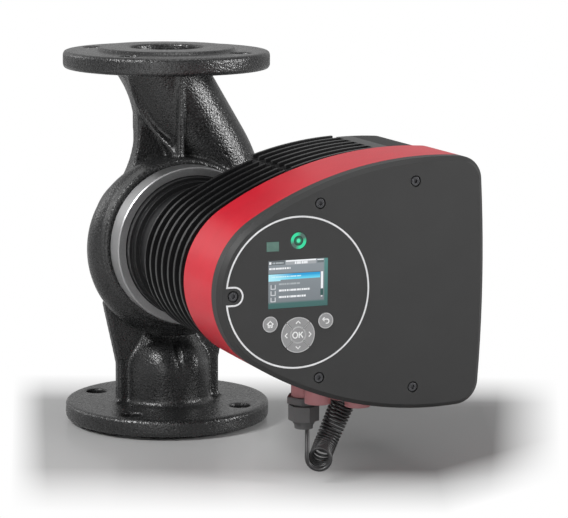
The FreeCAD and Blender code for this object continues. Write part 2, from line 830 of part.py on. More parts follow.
def volute(body, kind, name, wall):
    """The volute casing or its chamber: a round tube about an axis set below the motor axis, so that
    it opens out from the top, down the left and round to the duct on the right."""
    sketch = level(body, name + "_sketch", s.volute_shift_z)
    tube = s.volute_tube_radius - wall
    x = s.volute_shift_x
    middle = x + s.volute_radius - s.volute_tube_radius
    front, back = s.volute_tube_reach + tube, s.volute_tube_reach - tube
    draw(sketch, [(x, -front), (middle, -front, tube, 1), (middle + tube, -s.volute_tube_reach, tube, 1),
                  (middle, -back), (x, -back)])
    axis = sketch.addGeometry(Part.LineSegment(vector(x, -1), vector(x, 1)), True)
    constrain(sketch, [("Vertical", (axis,), None), ("DistanceX", (-1, 1, axis, 1), x),
                       ("DistanceY", (-1, 1, axis, 1), -1), ("DistanceY", (-1, 1, axis, 2), 1)])
    feature = revolve(body, kind, name, sketch)
    feature.ReferenceAxis = (sketch, ["Axis0"])
    return feature


def chamber_back():
    """Reach of the volute chamber's rear wall."""
    return s.volute_tube_reach - s.volute_tube_radius + s.casting_wall


def bowl_section(wall, front):
    """Half section of the suction bowl behind the volute, shrunk by the wall for its chamber."""
    end, side, bend = s.bowl_end_reach + wall, s.bowl_radius - wall, s.bowl_round - wall
    return [(0, end), (side - bend, end, bend, -1), (side, end + bend), (side, front), (0, front)]


def duct(body, solid, name, radius, length):
    """Discharge duct or its passage: up from the right of the volute, then leaning to the flange."""
    turn = "Revolution" if solid else "Groove"
    x, centre = s.duct_offset_x, s.duct_offset_x - s.duct_bend_radius
    foot = (centre + s.duct_bend_radius * cosine(s.duct_lean),
            s.duct_bend_height + s.duct_bend_radius * sine(s.duct_lean))
    bar(body, "Pad" if solid else "Pocket", name + "_rise", x, -s.duct_reach, radius,
        0, s.duct_bend_height)
    bend(body, turn, name + "_bend", x, -s.duct_reach, radius, s.duct_bend_height, "Y", centre, s.duct_lean)
    leaning(body, turn, name + "_run", s.duct_reach, foot, s.duct_lean, radius, length)


def elbow(body, solid, name, radius):
    """Suction elbow or its passage: back from the lower port, and up into the bowl."""
    turn = "Revolution" if solid else "Groove"
    over = s.elbow_bend_radius * (1 - cosine(s.elbow_lean)) * 2
    rise = s.elbow_bend_radius * sine(s.elbow_lean) * 2
    bend(body, turn, name + "_back", 0, 0, radius, s.elbow_bend_height, "X", s.elbow_bend_radius,
         s.elbow_lean)
    bend(body, turn, name + "_return", 0, over, radius, s.elbow_bend_height + rise, "X",
         over - s.elbow_bend_radius, s.elbow_lean, True)
    if not solid:
        bar(body, "Pocket", name + "_rise", 0, over, radius, s.elbow_bend_height + rise, s.elbow_top)


def neck_ring_outer():
    return s.impeller_eye_radius + s.impeller_shroud + s.neck_ring_gap + s.neck_ring_wall


def neck_ring():
    """Wear ring pressed into the wall between the suction chamber and the volute."""
    body = new_body("neck_ring")
    outer = neck_ring_outer()
    turned(body, "ring", *disc(outer - s.neck_ring_wall, outer, chamber_back() - s.eye_wall,
                               chamber_back()))
    return body


def impeller():
    """Closed impeller: eye sleeve and shroud behind, curved vanes, hub plate in front."""
    body = new_body("impeller")
    shroud = s.impeller_back_reach
    vane_back = shroud + s.impeller_shroud
    vane_front = vane_back + s.impeller_outlet_width
    eye_end = chamber_back() - s.eye_wall + 1
    sleeve = s.impeller_eye_radius + s.impeller_shroud
    turned(body, "eye_and_shroud", (s.impeller_eye_radius, eye_end), (sleeve, eye_end), (sleeve, shroud),
           (s.impeller_radius, shroud), (s.impeller_radius, vane_back), (s.impeller_eye_radius, vane_back))
    turned(body, "hub_plate", (s.shaft_radius, s.hub_back_reach), (s.hub_radius, s.hub_back_reach),
           (s.hub_radius, vane_front), (s.impeller_radius, vane_front),
           (s.impeller_radius, vane_front + s.impeller_shroud),
           (s.hub_radius, vane_front + s.impeller_shroud), (s.hub_radius, s.hub_front_reach),
           (s.shaft_radius, s.hub_front_reach))

    def polar(radius, angle):
        return radius * cosine(angle), -radius * sine(angle)

    tip, taper = s.impeller_radius - 0.2, s.vane_taper
    vane = slab(body, "vane", vane_back - 0.5, vane_front + 0.5, [
        polar(s.vane_start_radius, 0) + (s.vane_curve, -1), polar(tip, s.vane_wrap),
        polar(tip, s.vane_wrap + taper) + (s.vane_curve, 1), polar(s.vane_start_radius, taper * 2)])
    repeat_round(body, "vanes", [vane], s.vane_count)
    return body


def impeller_nut():
    body = new_body("impeller_nut")
    back = s.hub_back_reach - s.impeller_nut_height
    slab(body, "nut", back, s.hub_back_reach, hexagon(0, 0, s.impeller_nut_flats), (0, 0, s.shaft_radius))
    return body


def clamp_band():
    """Split ring that draws the two rims together, with a lug each side of its opening."""
    body = new_body("clamp_band")
    back, front = s.band_rear_reach, s.band_front_reach
    rim_back = s.split_reach - s.rim_width
    lip = s.rim_radius - s.band_lip
    turned(body, "ring", (lip, back), (s.band_radius - 1, back), (s.band_radius, back + 1),
           (s.band_radius, front - 1), (s.band_radius - 1, front), (lip, front),
           (lip, s.split_reach + s.rim_width), (s.rim_radius + s.band_gap, s.split_reach + s.rim_width),
           (s.rim_radius + s.band_gap, rim_back), (lip, rim_back))
    half, lug = s.band_opening / 2, s.band_lug_height
    inner = s.rim_radius + 1.5
    slab(body, "lugs", back + 2, front - 2,
         rectangle(inner, half, s.band_lug_reach, half + lug),
         rectangle(inner, -half - lug, s.band_lug_reach, -half))
    recess(body, "opening", back - 1, front + 1, rectangle(s.spigot_radius, -half, s.band_lug_reach + 1,
                                                           half))
    bar(body, "Pocket", "screw_hole", s.clamp_screw_x, -s.split_reach, s.clamp_screw_radius,
        -half - lug - 1, half + lug + 1)
    return body


def clamp_screw():
    body = new_body("clamp_screw")
    top = s.band_opening / 2 + s.band_lug_height
    x, y = s.clamp_screw_x, -s.split_reach
    bar(body, "Pad", "shank", x, y, s.clamp_screw_radius, -top - 7, top)
    bar(body, "Pad", "head", x, y, s.clamp_head_radius, top, top + s.clamp_head_height)
    sketch = level(body, "socket_sketch", top + s.clamp_head_height)
    draw(sketch, hexagon(x, y, 5.0))
    pocket(body, "socket", sketch, 3)
    return body


def clamp_nut():
    body = new_body("clamp_nut")
    top = s.band_opening / 2 + s.band_lug_height
    sketch = level(body, "nut_sketch", -top - s.clamp_head_height)
    draw(sketch, hexagon(s.clamp_screw_x, -s.split_reach, 2 * s.clamp_head_radius))
    draw_circle(sketch, s.clamp_screw_x, -s.split_reach, s.clamp_screw_radius)
    pad(body, "nut", sketch, s.clamp_head_height)
    return body


def housing_o_ring():
    """Seal between the motor spigot and the mouth of the pump housing."""
    body = new_body("housing_o_ring")
    sketch = level(body, "section_sketch", 0)
    draw_circle(sketch, s.spigot_radius + s.spigot_gap - s.o_ring_radius, -s.o_ring_reach, s.o_ring_radius)
    revolve(body, "Revolution", "ring", sketch)
    return body


# ---------------------------------------------------------------- canned motor

def bearing_plate():
    """Dished plate that carries the front bearing and closes the pump chamber."""
    body = new_body("bearing_plate")
    dish, thick = s.plate_dish_reach, s.plate_thickness
    seat, hub, back = s.bearing_radius, s.bearing_radius + s.plate_hub_wall, s.plate_hub_back
    front = dish + s.bearing_length
    turned(body, "plate", (s.shaft_radius + 1, back), (hub, back), (hub, dish), (s.plate_dish_radius, dish),
           (s.mouth_radius - 1, s.shoulder_reach), (s.spigot_radius, s.shoulder_reach),
           (s.spigot_radius, s.can_flange_reach), (s.mouth_radius - 4, s.can_flange_reach),
           (s.plate_dish_radius - 2, dish + thick), (hub, dish + thick), (hub, front), (seat, front),
           (seat, dish), (s.shaft_radius + 1, dish))
    hole = recess(body, "balance_hole", dish - 1, dish + thick + 1, (0, 32, 3))
    repeat_round(body, "balance_holes", [hole], 4)
    return body


def rotor_can():
    """Thin can that keeps the pumped water in the rotor chamber, with a cup for the rear bearing."""
    body = new_body("rotor_can")
    inner, end, wall = s.can_radius - s.can_wall, s.can_end_reach, s.can_wall
    flange, cup = s.can_flange_reach, s.bearing_radius
    cup_start = end - wall - s.bearing_length
    turned(body, "can", (inner, flange), (s.spigot_radius - 0.5, flange),
           (s.spigot_radius - 0.5, flange + s.can_flange), (s.can_radius, flange + s.can_flange),
           (s.can_radius, end), (0, end), (0, end - wall), (cup, end - wall), (cup, cup_start),
           (cup + wall, cup_start), (cup + wall, end - wall), (inner, end - wall))
    return body


def bearing(label, back, front):
    body = new_body(label)
    turned(body, "bush", *disc(s.shaft_radius + s.bearing_gap, s.bearing_radius, back, front))
    return body


def front_bearing():
    return bearing("front_bearing", s.plate_dish_reach, s.plate_dish_reach + s.bearing_length)


def rear_bearing():
    end = s.can_end_reach - s.can_wall
    return bearing("rear_bearing", end - s.bearing_length, end)


def thrust_bearing():
    body = new_body("thrust_bearing")
    turned(body, "ring", *disc(s.shaft_radius, s.hub_radius, s.hub_front_reach, s.plate_hub_back - 0.2))
    return body


def shaft():
    body = new_body("shaft")
    turned(body, "bar", *disc(0, s.shaft_radius, s.shaft_back_reach, s.shaft_front_reach))
    return body


def rotor_core():
    body = new_body("rotor_core")
    turned(body, "core", *disc(s.shaft_radius, s.rotor_radius - s.magnet_thickness, s.rotor_start_reach,
                               s.rotor_start_reach + s.rotor_length))
    hole = recess(body, "core_hole", s.rotor_start_reach, s.rotor_start_reach + s.rotor_length,
                  (0, (s.shaft_radius + s.rotor_radius - s.magnet_thickness) / 2, 4.5))
    repeat_round(body, "core_holes", [hole], 6)
    return body


def rotor_magnets():
    """Eight arc magnets around the core."""
    body = new_body("rotor_magnets")
    inner, outer = s.rotor_radius - s.magnet_thickness, s.rotor_radius
    half = 180 / s.magnet_count - 1.5
    magnet = slab(body, "magnet", s.rotor_start_reach, s.rotor_start_reach + s.rotor_length, [
        (inner * cosine(half), -inner * sine(half)),
        (outer * cosine(half), -outer * sine(half), outer, 1),
        (outer * cosine(half), outer * sine(half)),
        (inner * cosine(half), inner * sine(half), inner, -1)])
    repeat_round(body, "magnets", [magnet], s.magnet_count)
    return body


def rotor_sleeve():
    """Stainless skin over the magnets, closed on to the shaft at both ends."""
    body = new_body("rotor_sleeve")
    back, front = s.rotor_start_reach, s.rotor_start_reach + s.rotor_length
    outer = s.rotor_radius + s.sleeve_wall
    turned(body, "skin", (s.shaft_radius, back - 2), (outer, back - 2), (outer, front + 2),
           (s.shaft_radius, front + 2), (s.shaft_radius, front), (s.rotor_radius, front),
           (s.rotor_radius, back), (s.shaft_radius, back))
    return body


def stator_core():
    """Laminated ring with twelve teeth that end in shoes next to the can."""
    body = new_body("stator_core")
    back, front = s.stator_start_reach, s.stator_start_reach + s.stator_length
    half, inner = s.tooth_width / 2, s.can_radius + 0.3
    turned(body, "yoke", *disc(s.yoke_radius, s.stator_radius, back, front))
    tooth = slab(body, "tooth", back, front, rectangle(inner, -half, s.yoke_radius + 1, half))
    shoe = slab(body, "shoe", back, front, rectangle(inner, -half - 2.5, inner + 1.8, half + 2.5))
    repeat_round(body, "teeth", [tooth, shoe], s.slot_count)
    return body


def stator_windings():
    """One coil around every tooth, bulging past both ends of the core."""
    body = new_body("stator_windings")
    back, front = s.stator_start_reach, s.stator_start_reach + s.stator_length
    half = s.tooth_width / 2
    wide = half + s.coil_thickness
    coil = slab(body, "coil", back - s.coil_overhang, front + s.coil_overhang,
                rectangle(s.coil_start_radius, -wide, s.coil_end_radius, wide))
    eye = recess(body, "coil_eye", back, front,
                 rectangle(s.coil_start_radius - 1, -half, s.coil_end_radius + 1, half))
    repeat_round(body, "coils", [coil, eye], s.slot_count)
    return body


def stator_housing():
    """Aluminium motor housing: spigot and rim at the pump, a flared neck, and cooling fins that
    follow the outline of the control box."""
    body = new_body("stator_housing")
    plate = slab(body, "fin", s.fin_start_reach, s.fin_start_reach + s.fin_thickness, s.fin_inset)
    repeat_forward(body, "fins", [plate], s.fin_pitch, s.fin_count)
    recess(body, "fin_trim", s.fin_start_reach - 1, s.band_back_reach,
           rectangle(s.fin_right_edge, -far_out(), far_out() * 2, far_out()))
    bore, wall = s.can_radius + 0.5, s.motor_wall_radius
    spigot, split, rim = s.spigot_radius, s.split_reach, s.rim_radius
    groove, half = s.spigot_radius + s.spigot_gap - 2 * s.o_ring_radius, s.o_ring_radius + 0.1
    front, over = s.band_back_reach, s.flare_radius - wall
    run = s.flare_end_reach - s.flare_start_reach
    flare = (over * over + run * run) / (2 * over)
    winding_back = s.stator_start_reach - s.coil_overhang - 3
    foot = s.can_flange_reach + s.can_flange
    turned(body, "shell", (bore, foot), (spigot, foot), (spigot, s.o_ring_reach - half),
           (groove, s.o_ring_reach - half), (groove, s.o_ring_reach + half),
           (spigot, s.o_ring_reach + half), (spigot, split), (rim, split), (rim, split + s.rim_width),
           (s.neck_first_radius, split + s.rim_width), (s.neck_first_radius, s.neck_first_reach),
           (s.neck_second_radius, s.neck_first_reach), (s.neck_second_radius, s.neck_second_reach),
           (wall, s.neck_second_reach), (wall, s.flare_start_reach, flare, 1),
           (s.flare_radius, s.flare_end_reach), (s.flare_radius, s.flare_end_reach + 2),
           (wall, s.flare_end_reach + 2), (wall, front), (s.front_bore_radius, front),
           (s.front_bore_radius, s.front_bore_reach), (s.stator_radius, s.front_bore_reach),
           (s.stator_radius, s.stator_start_reach), (s.stator_radius - 3, s.stator_start_reach),
           (s.stator_radius - 3, winding_back), (bore, winding_back))
    bored(body, "motor_bore", (0, s.stator_start_reach), (s.stator_radius, s.stator_start_reach),
          (s.stator_radius, s.front_bore_reach), (s.front_bore_radius, s.front_bore_reach),
          (s.front_bore_radius, front + 1), (0, front + 1))
    return body


def end_shield():
    """Plate in front of the windings with the opening for their leads."""
    body = new_body("end_shield")
    slab(body, "plate", s.shield_reach, s.shield_reach + s.shield_thickness, (0, 0, s.front_bore_radius),
         (0, -34, 7))
    return body


# ---------------------------------------------------------------- heat sink and control box

def far_out():
    """A half height clear of every part of the control box."""
    return s.box_half_height + 10


def heat_sink():
    """Finned casting beside the motor that cools the power electronics."""
    body = new_body("heat_sink")
    rear, front, step = s.sink_start_reach, s.band_back_reach, s.sink_smooth_reach
    wall, left, edge = s.sink_wall, s.sink_left_edge, s.end_cover_edge
    near, deep, far = s.sink_cavity_left_half, s.sink_cavity_right_half, far_out()
    slab(body, "block", rear, front, s.fin_inset)
    recess(body, "cavity", step + wall, front, s.sink_shell)
    recess(body, "deep_cavity", rear + wall, step + wall,
           [(left + wall, -near), (s.sink_fin_end - wall, -deep), (s.sink_fin_end - wall, deep),
            (left + wall, near)])
    slab(body, "left_wall", rear, front,
         rectangle(left, -s.sink_left_wall_half, left + wall, s.sink_left_wall_half))
    slab(body, "motor_ring", rear, front, (0, 0, s.sink_ring_radius))
    bored(body, "motor_bore", *disc(0, s.sink_bore_radius, rear - 1, front + 1))
    bored(body, "flare_seat", *disc(0, s.flare_radius + s.sink_gap, rear - 1,
                                    s.flare_end_reach + 2 + s.sink_gap))
    slab(body, "right_wall", step, front,
         rectangle(edge - wall, -s.sink_right_wall_half, edge, s.sink_right_wall_half))
    recess(body, "side_cuts", rear - 1, front + 1, rectangle(-far, -far, left, far),
           rectangle(edge, -far, 2 * far, far))
    recess(body, "rear_step", rear - 1, step, rectangle(s.sink_fin_end, -far, 2 * far, far))
    slab(body, "screw_bosses", step, front,
         *[(x, z, s.screw_boss_radius - 1) for x, z in box_screw_places()])
    recess(body, "screw_bores", front - 14, front,
           *[(x, z, s.screw_shank_radius) for x, z in box_screw_places()])
    gap_start = rear + s.fin_thickness

    def gap(sign):
        return [(left - 1, sign * s.sink_floor_left), (s.sink_fin_end, sign * s.sink_floor_right),
                (s.sink_fin_end, sign * far), (left - 1, sign * far)]

    cut = recess(body, "fin_gap", gap_start, gap_start + s.fin_pitch - s.fin_thickness, gap(1), gap(-1))
    repeat_forward(body, "fin_gaps", [cut], s.fin_pitch, s.sink_fin_count)
    return body


def end_cover():
    """Smooth plastic cover that closes the side of the heat sink."""
    body = new_body("end_cover")
    rear, front, far = s.sink_smooth_reach, s.band_back_reach, far_out()
    slab(body, "shell", rear, front, s.fin_inset)
    recess(body, "hollow", rear + s.cover_wall, front - s.cover_wall, s.fin_inset + s.cover_wall)
    recess(body, "left_cut", rear - 1, front + 1, rectangle(-far, -far, s.end_cover_edge, far))
    return body


def cover_screw_places():
    return [(s.nose_screw_x, 0)] + [(x, z * sign) for x, z in ((s.near_screw_x, s.near_screw_z),
                                                               (s.far_screw_x, s.far_screw_z))
                                    for sign in (1, -1)]


def box_screw_places():
    inner, outer = s.box_screw_near, s.box_screw_far
    return [(inner, s.box_screw_near_z), (inner, -s.box_screw_near_z), (outer, s.box_screw_far_z),
            (outer, -s.box_screw_far_z)]


def entries():
    """Cable entries: (x, reach, height of the lower end)."""
    return [(x, reach, bottom) for x, bottom in ((s.left_entry_x, s.left_entry_bottom),
                                                 (s.right_entry_x, s.right_entry_bottom))
            for reach in (s.front_row_reach, s.rear_row_reach)]


def box_housing():
    """Red control box: outer band, floor towards the motor, screw columns and cable entries."""
    body = new_body("box_housing")
    back, front, wall = s.band_back_reach, s.cover_back_reach, s.box_wall
    slab(body, "shell", back, front, 0)
    recess(body, "hollow", back + wall, front, wall)
    recess(body, "floor_windows", back - 1, back + wall, (0, 0, s.floor_hole_radius),
           rectangle(s.floor_window_left, -s.floor_window_half, s.floor_window_right, s.floor_window_half))
    slab(body, "screw_columns", back + wall, front,
         *[(x, z, s.screw_boss_radius) for x, z in cover_screw_places()])
    recess(body, "screw_bores", s.face_reach - s.screw_recess_depth - s.screw_length - 2, front,
           *[(x, z, s.screw_shank_radius) for x, z in cover_screw_places()])
    slab(body, "board_posts", back + wall, s.power_board_reach,
         *[(x, z * sign, 3.5) for x, z in ((s.board_post_near, s.board_post_z),
                                           (s.board_post_far, s.board_post_z)) for sign in (1, -1)])
    recess(body, "box_screw_holes", back - 1, back + wall,
           *[(x, z, s.screw_shank_radius + s.screw_clearance) for x, z in box_screw_places()])
    for number, (x, reach, bottom) in enumerate(entries(), start=1):
        bar(body, "Pad", "entry_%d" % number, x, -reach, s.entry_radius, bottom, bottom + s.entry_height)
        bar(body, "Pocket", "entry_bore_%d" % number, x, -reach, s.entry_bore_radius, bottom,
            bottom + s.entry_height + 1)
    recess(body, "gasket_groove", front - s.gasket_depth, front, 1.2, 2.8)
    recess(body, "rear_groove", back, back + s.gasket_depth,
           (0, 0, s.motor_wall_radius - 0.8), (0, 0, s.front_bore_radius + 0.6))
    return body


def cover_gasket():
    body = new_body("cover_gasket")
    slab(body, "seal", s.cover_back_reach - s.gasket_depth, s.cover_back_reach, 1.2, 2.8)
    return body


def rear_gasket():
    body = new_body("rear_gasket")
    slab(body, "seal", s.band_back_reach, s.band_back_reach + s.gasket_depth,
         (0, 0, s.motor_wall_radius - 0.8), (0, 0, s.front_bore_radius + 0.6))
    return body


def screws(label, places, seat, length):
    """Socket-head screws that face the front: heads from the seat outwards, shanks behind it."""
    body = new_body(label)
    slab(body, "shanks", seat - length, seat, *[(x, z, s.screw_shank_radius) for x, z in places])
    slab(body, "heads", seat, seat + s.screw_head_height, *[(x, z, s.screw_head_radius) for x, z in places])
    recess(body, "sockets", seat + 0.6, seat + s.screw_head_height,
           *[hexagon(x, z, s.socket_flats) for x, z in places])
    return body


def cover_screws():
    return screws("cover_screws", cover_screw_places(), s.face_reach - s.screw_recess_depth, s.screw_length)


def box_screws():
    return screws("box_screws", box_screw_places(), s.band_back_reach + s.box_wall, s.box_wall + 12)


def chamfer_front(body, name, base, reach, size):
    """Bevel every edge of the face that lies at this reach."""
    doc.recompute()
    local = [index for index, face in enumerate(base.Shape.Faces, start=1)
             if abs(face.BoundBox.YMax + reach.value) < 1e-4
             and abs(face.BoundBox.YMin + reach.value) < 1e-4]
    feature = body.newObject("PartDesign::Chamfer", name)
    feature.Base = (base, ["Face%d" % local[0]])
    bind(feature, "Size", size)
    return feature


def notched_ring(radius, notch):
    """Closed outline of a circle about the motor axis that turns in around the nose screw."""
    end = s.notch_centre_x
    rim_x = -root(radius * radius - notch * notch)
    return [(rim_x, notch, radius, -1), (0, radius, radius, -1), (radius, 0, radius, -1),
            (0, -radius, radius, -1), (rim_x, -notch), (end, -notch, notch, 1), (end + notch, 0, notch, 1),
            (end, notch)]


def ring_outlines():
    half = s.ring_width / 2
    return (notched_ring(s.ring_radius + half, s.ring_notch - half),
            notched_ring(s.ring_radius - half, s.ring_notch + half))


def centred(x, z, width, height, grow=0):
    """Corners of a rectangle about a centre, grown on every side."""
    return rectangle(x - width / 2 - grow, z - height / 2 - grow, x + width / 2 + grow,
                     z + height / 2 + grow)


def control_posts():
    x, z = s.board_half_width - 4, s.board_half_height - 4
    return [(i * x, j * z) for i in (1, -1) for j in (1, -1)]


def front_cover():
    """Moulded front with a bevelled edge and an opening for each thing on the panel."""
    body = new_body("front_cover")
    back, face, wall = s.cover_back_reach, s.face_reach, s.cover_wall
    inside, grow, ledge = face - wall, s.panel_gap, s.ledge
    shell = slab(body, "shell", back, face, 0)
    chamfer_front(body, "bevel", shell, face, s.cover_bevel)
    recess(body, "hollow", back, inside, wall)
    slab(body, "screw_columns", back, inside,
         *[(x, z, s.screw_boss_radius) for x, z in cover_screw_places()])
    slab(body, "board_posts", s.board_reach + s.board_thickness, inside,
         *[(x, z, 2.5) for x, z in control_posts()])
    recess(body, "screw_holes", back, face,
           *[(x, z, s.screw_shank_radius + s.screw_clearance) for x, z in cover_screw_places()])
    recess(body, "head_recesses", face - s.screw_recess_depth, face,
           *[(x, z, s.screw_recess_radius) for x, z in cover_screw_places()])
    recess(body, "ring_groove", face - s.ring_depth, face, *ring_outlines())
    recess(body, "display_seat", face - s.window_thickness, face,
           centred(0, s.display_z, s.display_width, s.display_height, grow))
    recess(body, "display_opening", inside, face,
           centred(0, s.display_z, s.display_width, s.display_height, -ledge))
    recess(body, "signal_seat", face - s.window_thickness, face,
           centred(s.signal_x, s.signal_z, s.signal_width, s.signal_height, grow))
    recess(body, "signal_opening", inside, face,
           centred(s.signal_x, s.signal_z, s.signal_width, s.signal_height, -ledge))
    recess(body, "light_seat", face - s.window_thickness, face, (0, s.light_z, s.light_radius + grow))
    recess(body, "light_opening", inside, face, (0, s.light_z, s.light_radius - ledge))
    recess(body, "key_holes", inside, face, (-s.key_x, s.key_z, s.key_radius + s.key_gap),
           (s.key_x, s.key_z, s.key_radius + s.key_gap), (0, s.pad_z, s.pad_radius + s.key_gap))
    return body


def panel_ring():
    body = new_body("panel_ring")
    slab(body, "ring", s.face_reach - s.ring_depth, s.face_reach, *ring_outlines())
    return body


def display_window():
    body = new_body("display_window")
    slab(body, "pane", s.face_reach - s.window_thickness, s.face_reach,
         centred(0, s.display_z, s.display_width, s.display_height))
    return body


def display_module():
    """Screen behind the window, standing on the control board."""
    body = new_body("display_module")
    slab(body, "frame", s.board_reach + s.board_thickness, s.face_reach - s.cover_wall,
         centred(0, s.display_z, s.display_width, s.display_height, 1))
    slab(body, "screen", s.face_reach - s.cover_wall, s.face_reach - s.window_thickness,
         centred(0, s.display_z, s.display_width, s.display_height, -s.ledge - 0.2))
    return body


def light_guide(label, *outlines):
    """A lens seated in the cover with a stem back to the control board."""
    body = new_body(label)
    seat = s.face_reach - s.window_thickness
    slab(body, "stem", s.board_reach + s.board_thickness, seat, outlines[1])
    slab(body, "lens", seat, s.face_reach, outlines[0])
    return body


def status_light():
    return light_guide("status_light", (0, s.light_z, s.light_radius),
                       (0, s.light_z, s.light_radius - s.ledge - 0.2))


def signal_window():
    lens = s.signal_width, s.signal_height
    return light_guide("signal_window", centred(s.signal_x, s.signal_z, *lens),
                       centred(s.signal_x, s.signal_z, *lens, grow=-s.ledge - 0.2))


def round_key(label, x, z, radius, foot_radius, back):
    """Push button with a foot behind the cover that keeps it in."""
    body = new_body(label)
    slab(body, "foot", back, back + s.key_foot_thickness, (x, z, foot_radius))
    slab(body, "cap", back, s.face_reach + s.key_proud, (x, z, radius))
    return body


def home_button():
    return round_key("home_button", -s.key_x, s.key_z, s.key_radius, s.key_radius + s.key_foot,
                     s.key_back_reach)


def back_button():
    return round_key("back_button", s.key_x, s.key_z, s.key_radius, s.key_radius + s.key_foot,
                     s.key_back_reach)


def ok_button():
    return round_key("ok_button", 0, s.pad_z, s.ok_radius, s.ok_radius + s.key_foot,
                     s.key_back_reach - s.key_travel - s.key_foot_thickness - 0.1)


def arrow_key(label, quarter):
    """One quarter of the ring around the middle button, turned by whole quarters from the top."""
    body = new_body(label)
    slit, inner = s.pad_slit, s.ok_radius + s.pad_slit

    def sector(outer):
        corners = []
        for radius, side in ((inner, -1), (inner, 1), (outer, 1), (outer, -1)):
            along = root(radius * radius - slit * slit)
            x, z = (along - slit) / math.sqrt(2) * side, (along + slit) / math.sqrt(2)
            for turn in range(quarter):
                x, z = -z, x
            corners.append((x, z + s.pad_z))
        corners[0] += (inner, -1)
        corners[2] += (outer, 1)
        return corners

    slab(body, "cap", s.key_back_reach, s.face_reach + s.key_proud, sector(s.pad_radius))
    slab(body, "foot", s.key_back_reach, s.key_back_reach + s.key_foot_thickness,
         sector(s.pad_radius + s.key_foot))
    return body


def up_button():
    return arrow_key("up_button", 0)


def left_button():
    return arrow_key("left_button", 1)


def down_button():
    return arrow_key("down_button", 2)


def right_button():
    return arrow_key("right_button", 3)


def control_board():
    """Board behind the panel, with the switches under the buttons."""
    body = new_body("control_board")
    top = s.board_reach + s.board_thickness
    slab(body, "board", s.board_reach, top,
         rounded(-s.board_half_width, -s.board_half_height, s.board_half_width, s.board_half_height, 3))
    ring = (s.ok_radius + s.pad_radius) / 2
    slab(body, "switches", top, s.key_back_reach - s.key_travel - 0.2,
         (-s.key_x, s.key_z, 2), (s.key_x, s.key_z, 2), (ring, s.pad_z, 1.8), (-ring, s.pad_z, 1.8),
         (0, s.pad_z + ring, 1.8), (0, s.pad_z - ring, 1.8))
    slab(body, "controller", s.board_reach - 2, s.board_reach, centred(0, 8, 16, 16))
    return body


def power_board():
    """Inverter board on its posts, with a heat spreader that reaches back to the heat sink side."""
    body = new_body("power_board")
    back = s.power_board_reach
    clear = s.screw_boss_radius + s.board_clearance
    left, right = s.near_screw_x + clear, s.power_board_right
    near, far = s.power_board_left_z, s.far_screw_z - clear
    top = back + s.board_thickness
    slab(body, "board", back, top, [(left, -near), (right, -far), (right, far), (left, near)])
    slab(body, "modules", back - s.module_depth, back,
         *[centred(s.module_x, s.module_z * sign, s.module_width, s.module_height) for sign in (1, -1)])
    slab(body, "chokes", top, top + s.choke_height,
         *[(s.choke_x, s.choke_z * sign, s.choke_radius) for sign in (1, -1)])
    return body


def capacitors():
    """Row of three smoothing capacitors on the power board."""
    body = new_body("capacitors")
    base = s.power_board_reach + s.board_thickness
    slab(body, "cans", base, base + s.capacitor_height,
         *[(s.capacitor_x, s.capacitor_pitch * step, s.capacitor_radius) for step in (-1, 0, 1)])
    return body


def terminal_blocks():
    """Mains and signal terminals above the cable entries."""
    body = new_body("terminal_blocks")
    base = s.power_board_reach + s.board_thickness
    places = [(s.mains_block_x, s.mains_block_z, s.mains_block_width),
              (s.signal_block_x, s.signal_block_z, s.signal_block_width)]
    top = base + s.terminal_height
    slab(body, "blocks", base, top, *[centred(x, z, width, s.terminal_depth) for x, z, width in places])
    recess(body, "clamps", top - s.terminal_height / 4, top,
           *[(x + s.terminal_pitch * step, z, s.terminal_screw_radius)
             for x, z, width in places for step in (-1, 0, 1)])
    return body


# ---------------------------------------------------------------- glands and cord

def upright_hexagon(body, name, x, reach, flats, bottom, top, bore=None):
    sketch = level(body, name + "_sketch", bottom)
    draw(sketch, hexagon(x, -reach, flats))
    if bore is not None:
        draw_circle(sketch, x, -reach, bore)
    return pad(body, name, sketch, top - bottom)


def gland_heights():
    """Lower ends of the gland's collar, neck, thread, nut and dome."""
    collar = s.left_entry_bottom - s.gland_collar_height
    neck = collar - s.gland_neck_height
    return collar, neck, neck - s.gland_thread_height, neck - s.gland_nut_height, \
        neck - s.gland_nut_height - s.gland_dome_height


def gland_body():
    """Hexagon collar below the entry, threaded up into it and down into the gland nut."""
    body = new_body("gland_body")
    x, y = s.left_entry_x, -s.rear_row_reach
    collar, neck, thread, _, _ = gland_heights()
    upright_hexagon(body, "collar", x, s.rear_row_reach, s.gland_collar_flats, collar, s.left_entry_bottom)
    bar(body, "Pad", "upper_thread", x, y, s.entry_bore_radius, s.left_entry_bottom,
        s.left_entry_bottom + s.entry_height - 6)
    bar(body, "Pad", "neck", x, y, s.gland_neck_radius, neck, collar)
    bar(body, "Pad", "lower_thread", x, y, s.gland_thread_radius, thread, neck)
    bar(body, "Pocket", "bore", x, y, s.gland_bore_radius, thread, s.left_entry_bottom + s.entry_height)
    return body


def gland_nut():
    """Hexagon nut with a stepped dome that squeezes the seal on to the cord."""
    body = new_body("gland_nut")
    x, y = s.left_entry_x, -s.rear_row_reach
    _, neck, thread, nut, dome = gland_heights()
    step = s.gland_dome_height / 3
    upright_hexagon(body, "nut", x, s.rear_row_reach, s.gland_nut_flats, nut, neck)
    bar(body, "Pad", "upper_step", x, y, s.gland_dome_radius, nut - step, nut)
    bar(body, "Pad", "middle_step", x, y, s.gland_dome_radius - 1.4, nut - 2 * step, nut - step)
    bar(body, "Pad", "lower_step", x, y, s.gland_dome_radius - 3.2, dome, nut - 2 * step)
    bar(body, "Pocket", "thread", x, y, s.gland_thread_radius, thread, neck)
    bar(body, "Pocket", "seal_seat", x, y, s.gland_bore_radius, thread - s.seal_height, thread)
    bar(body, "Pocket", "mouth", x, y, s.cord_radius, dome, neck)
    return body


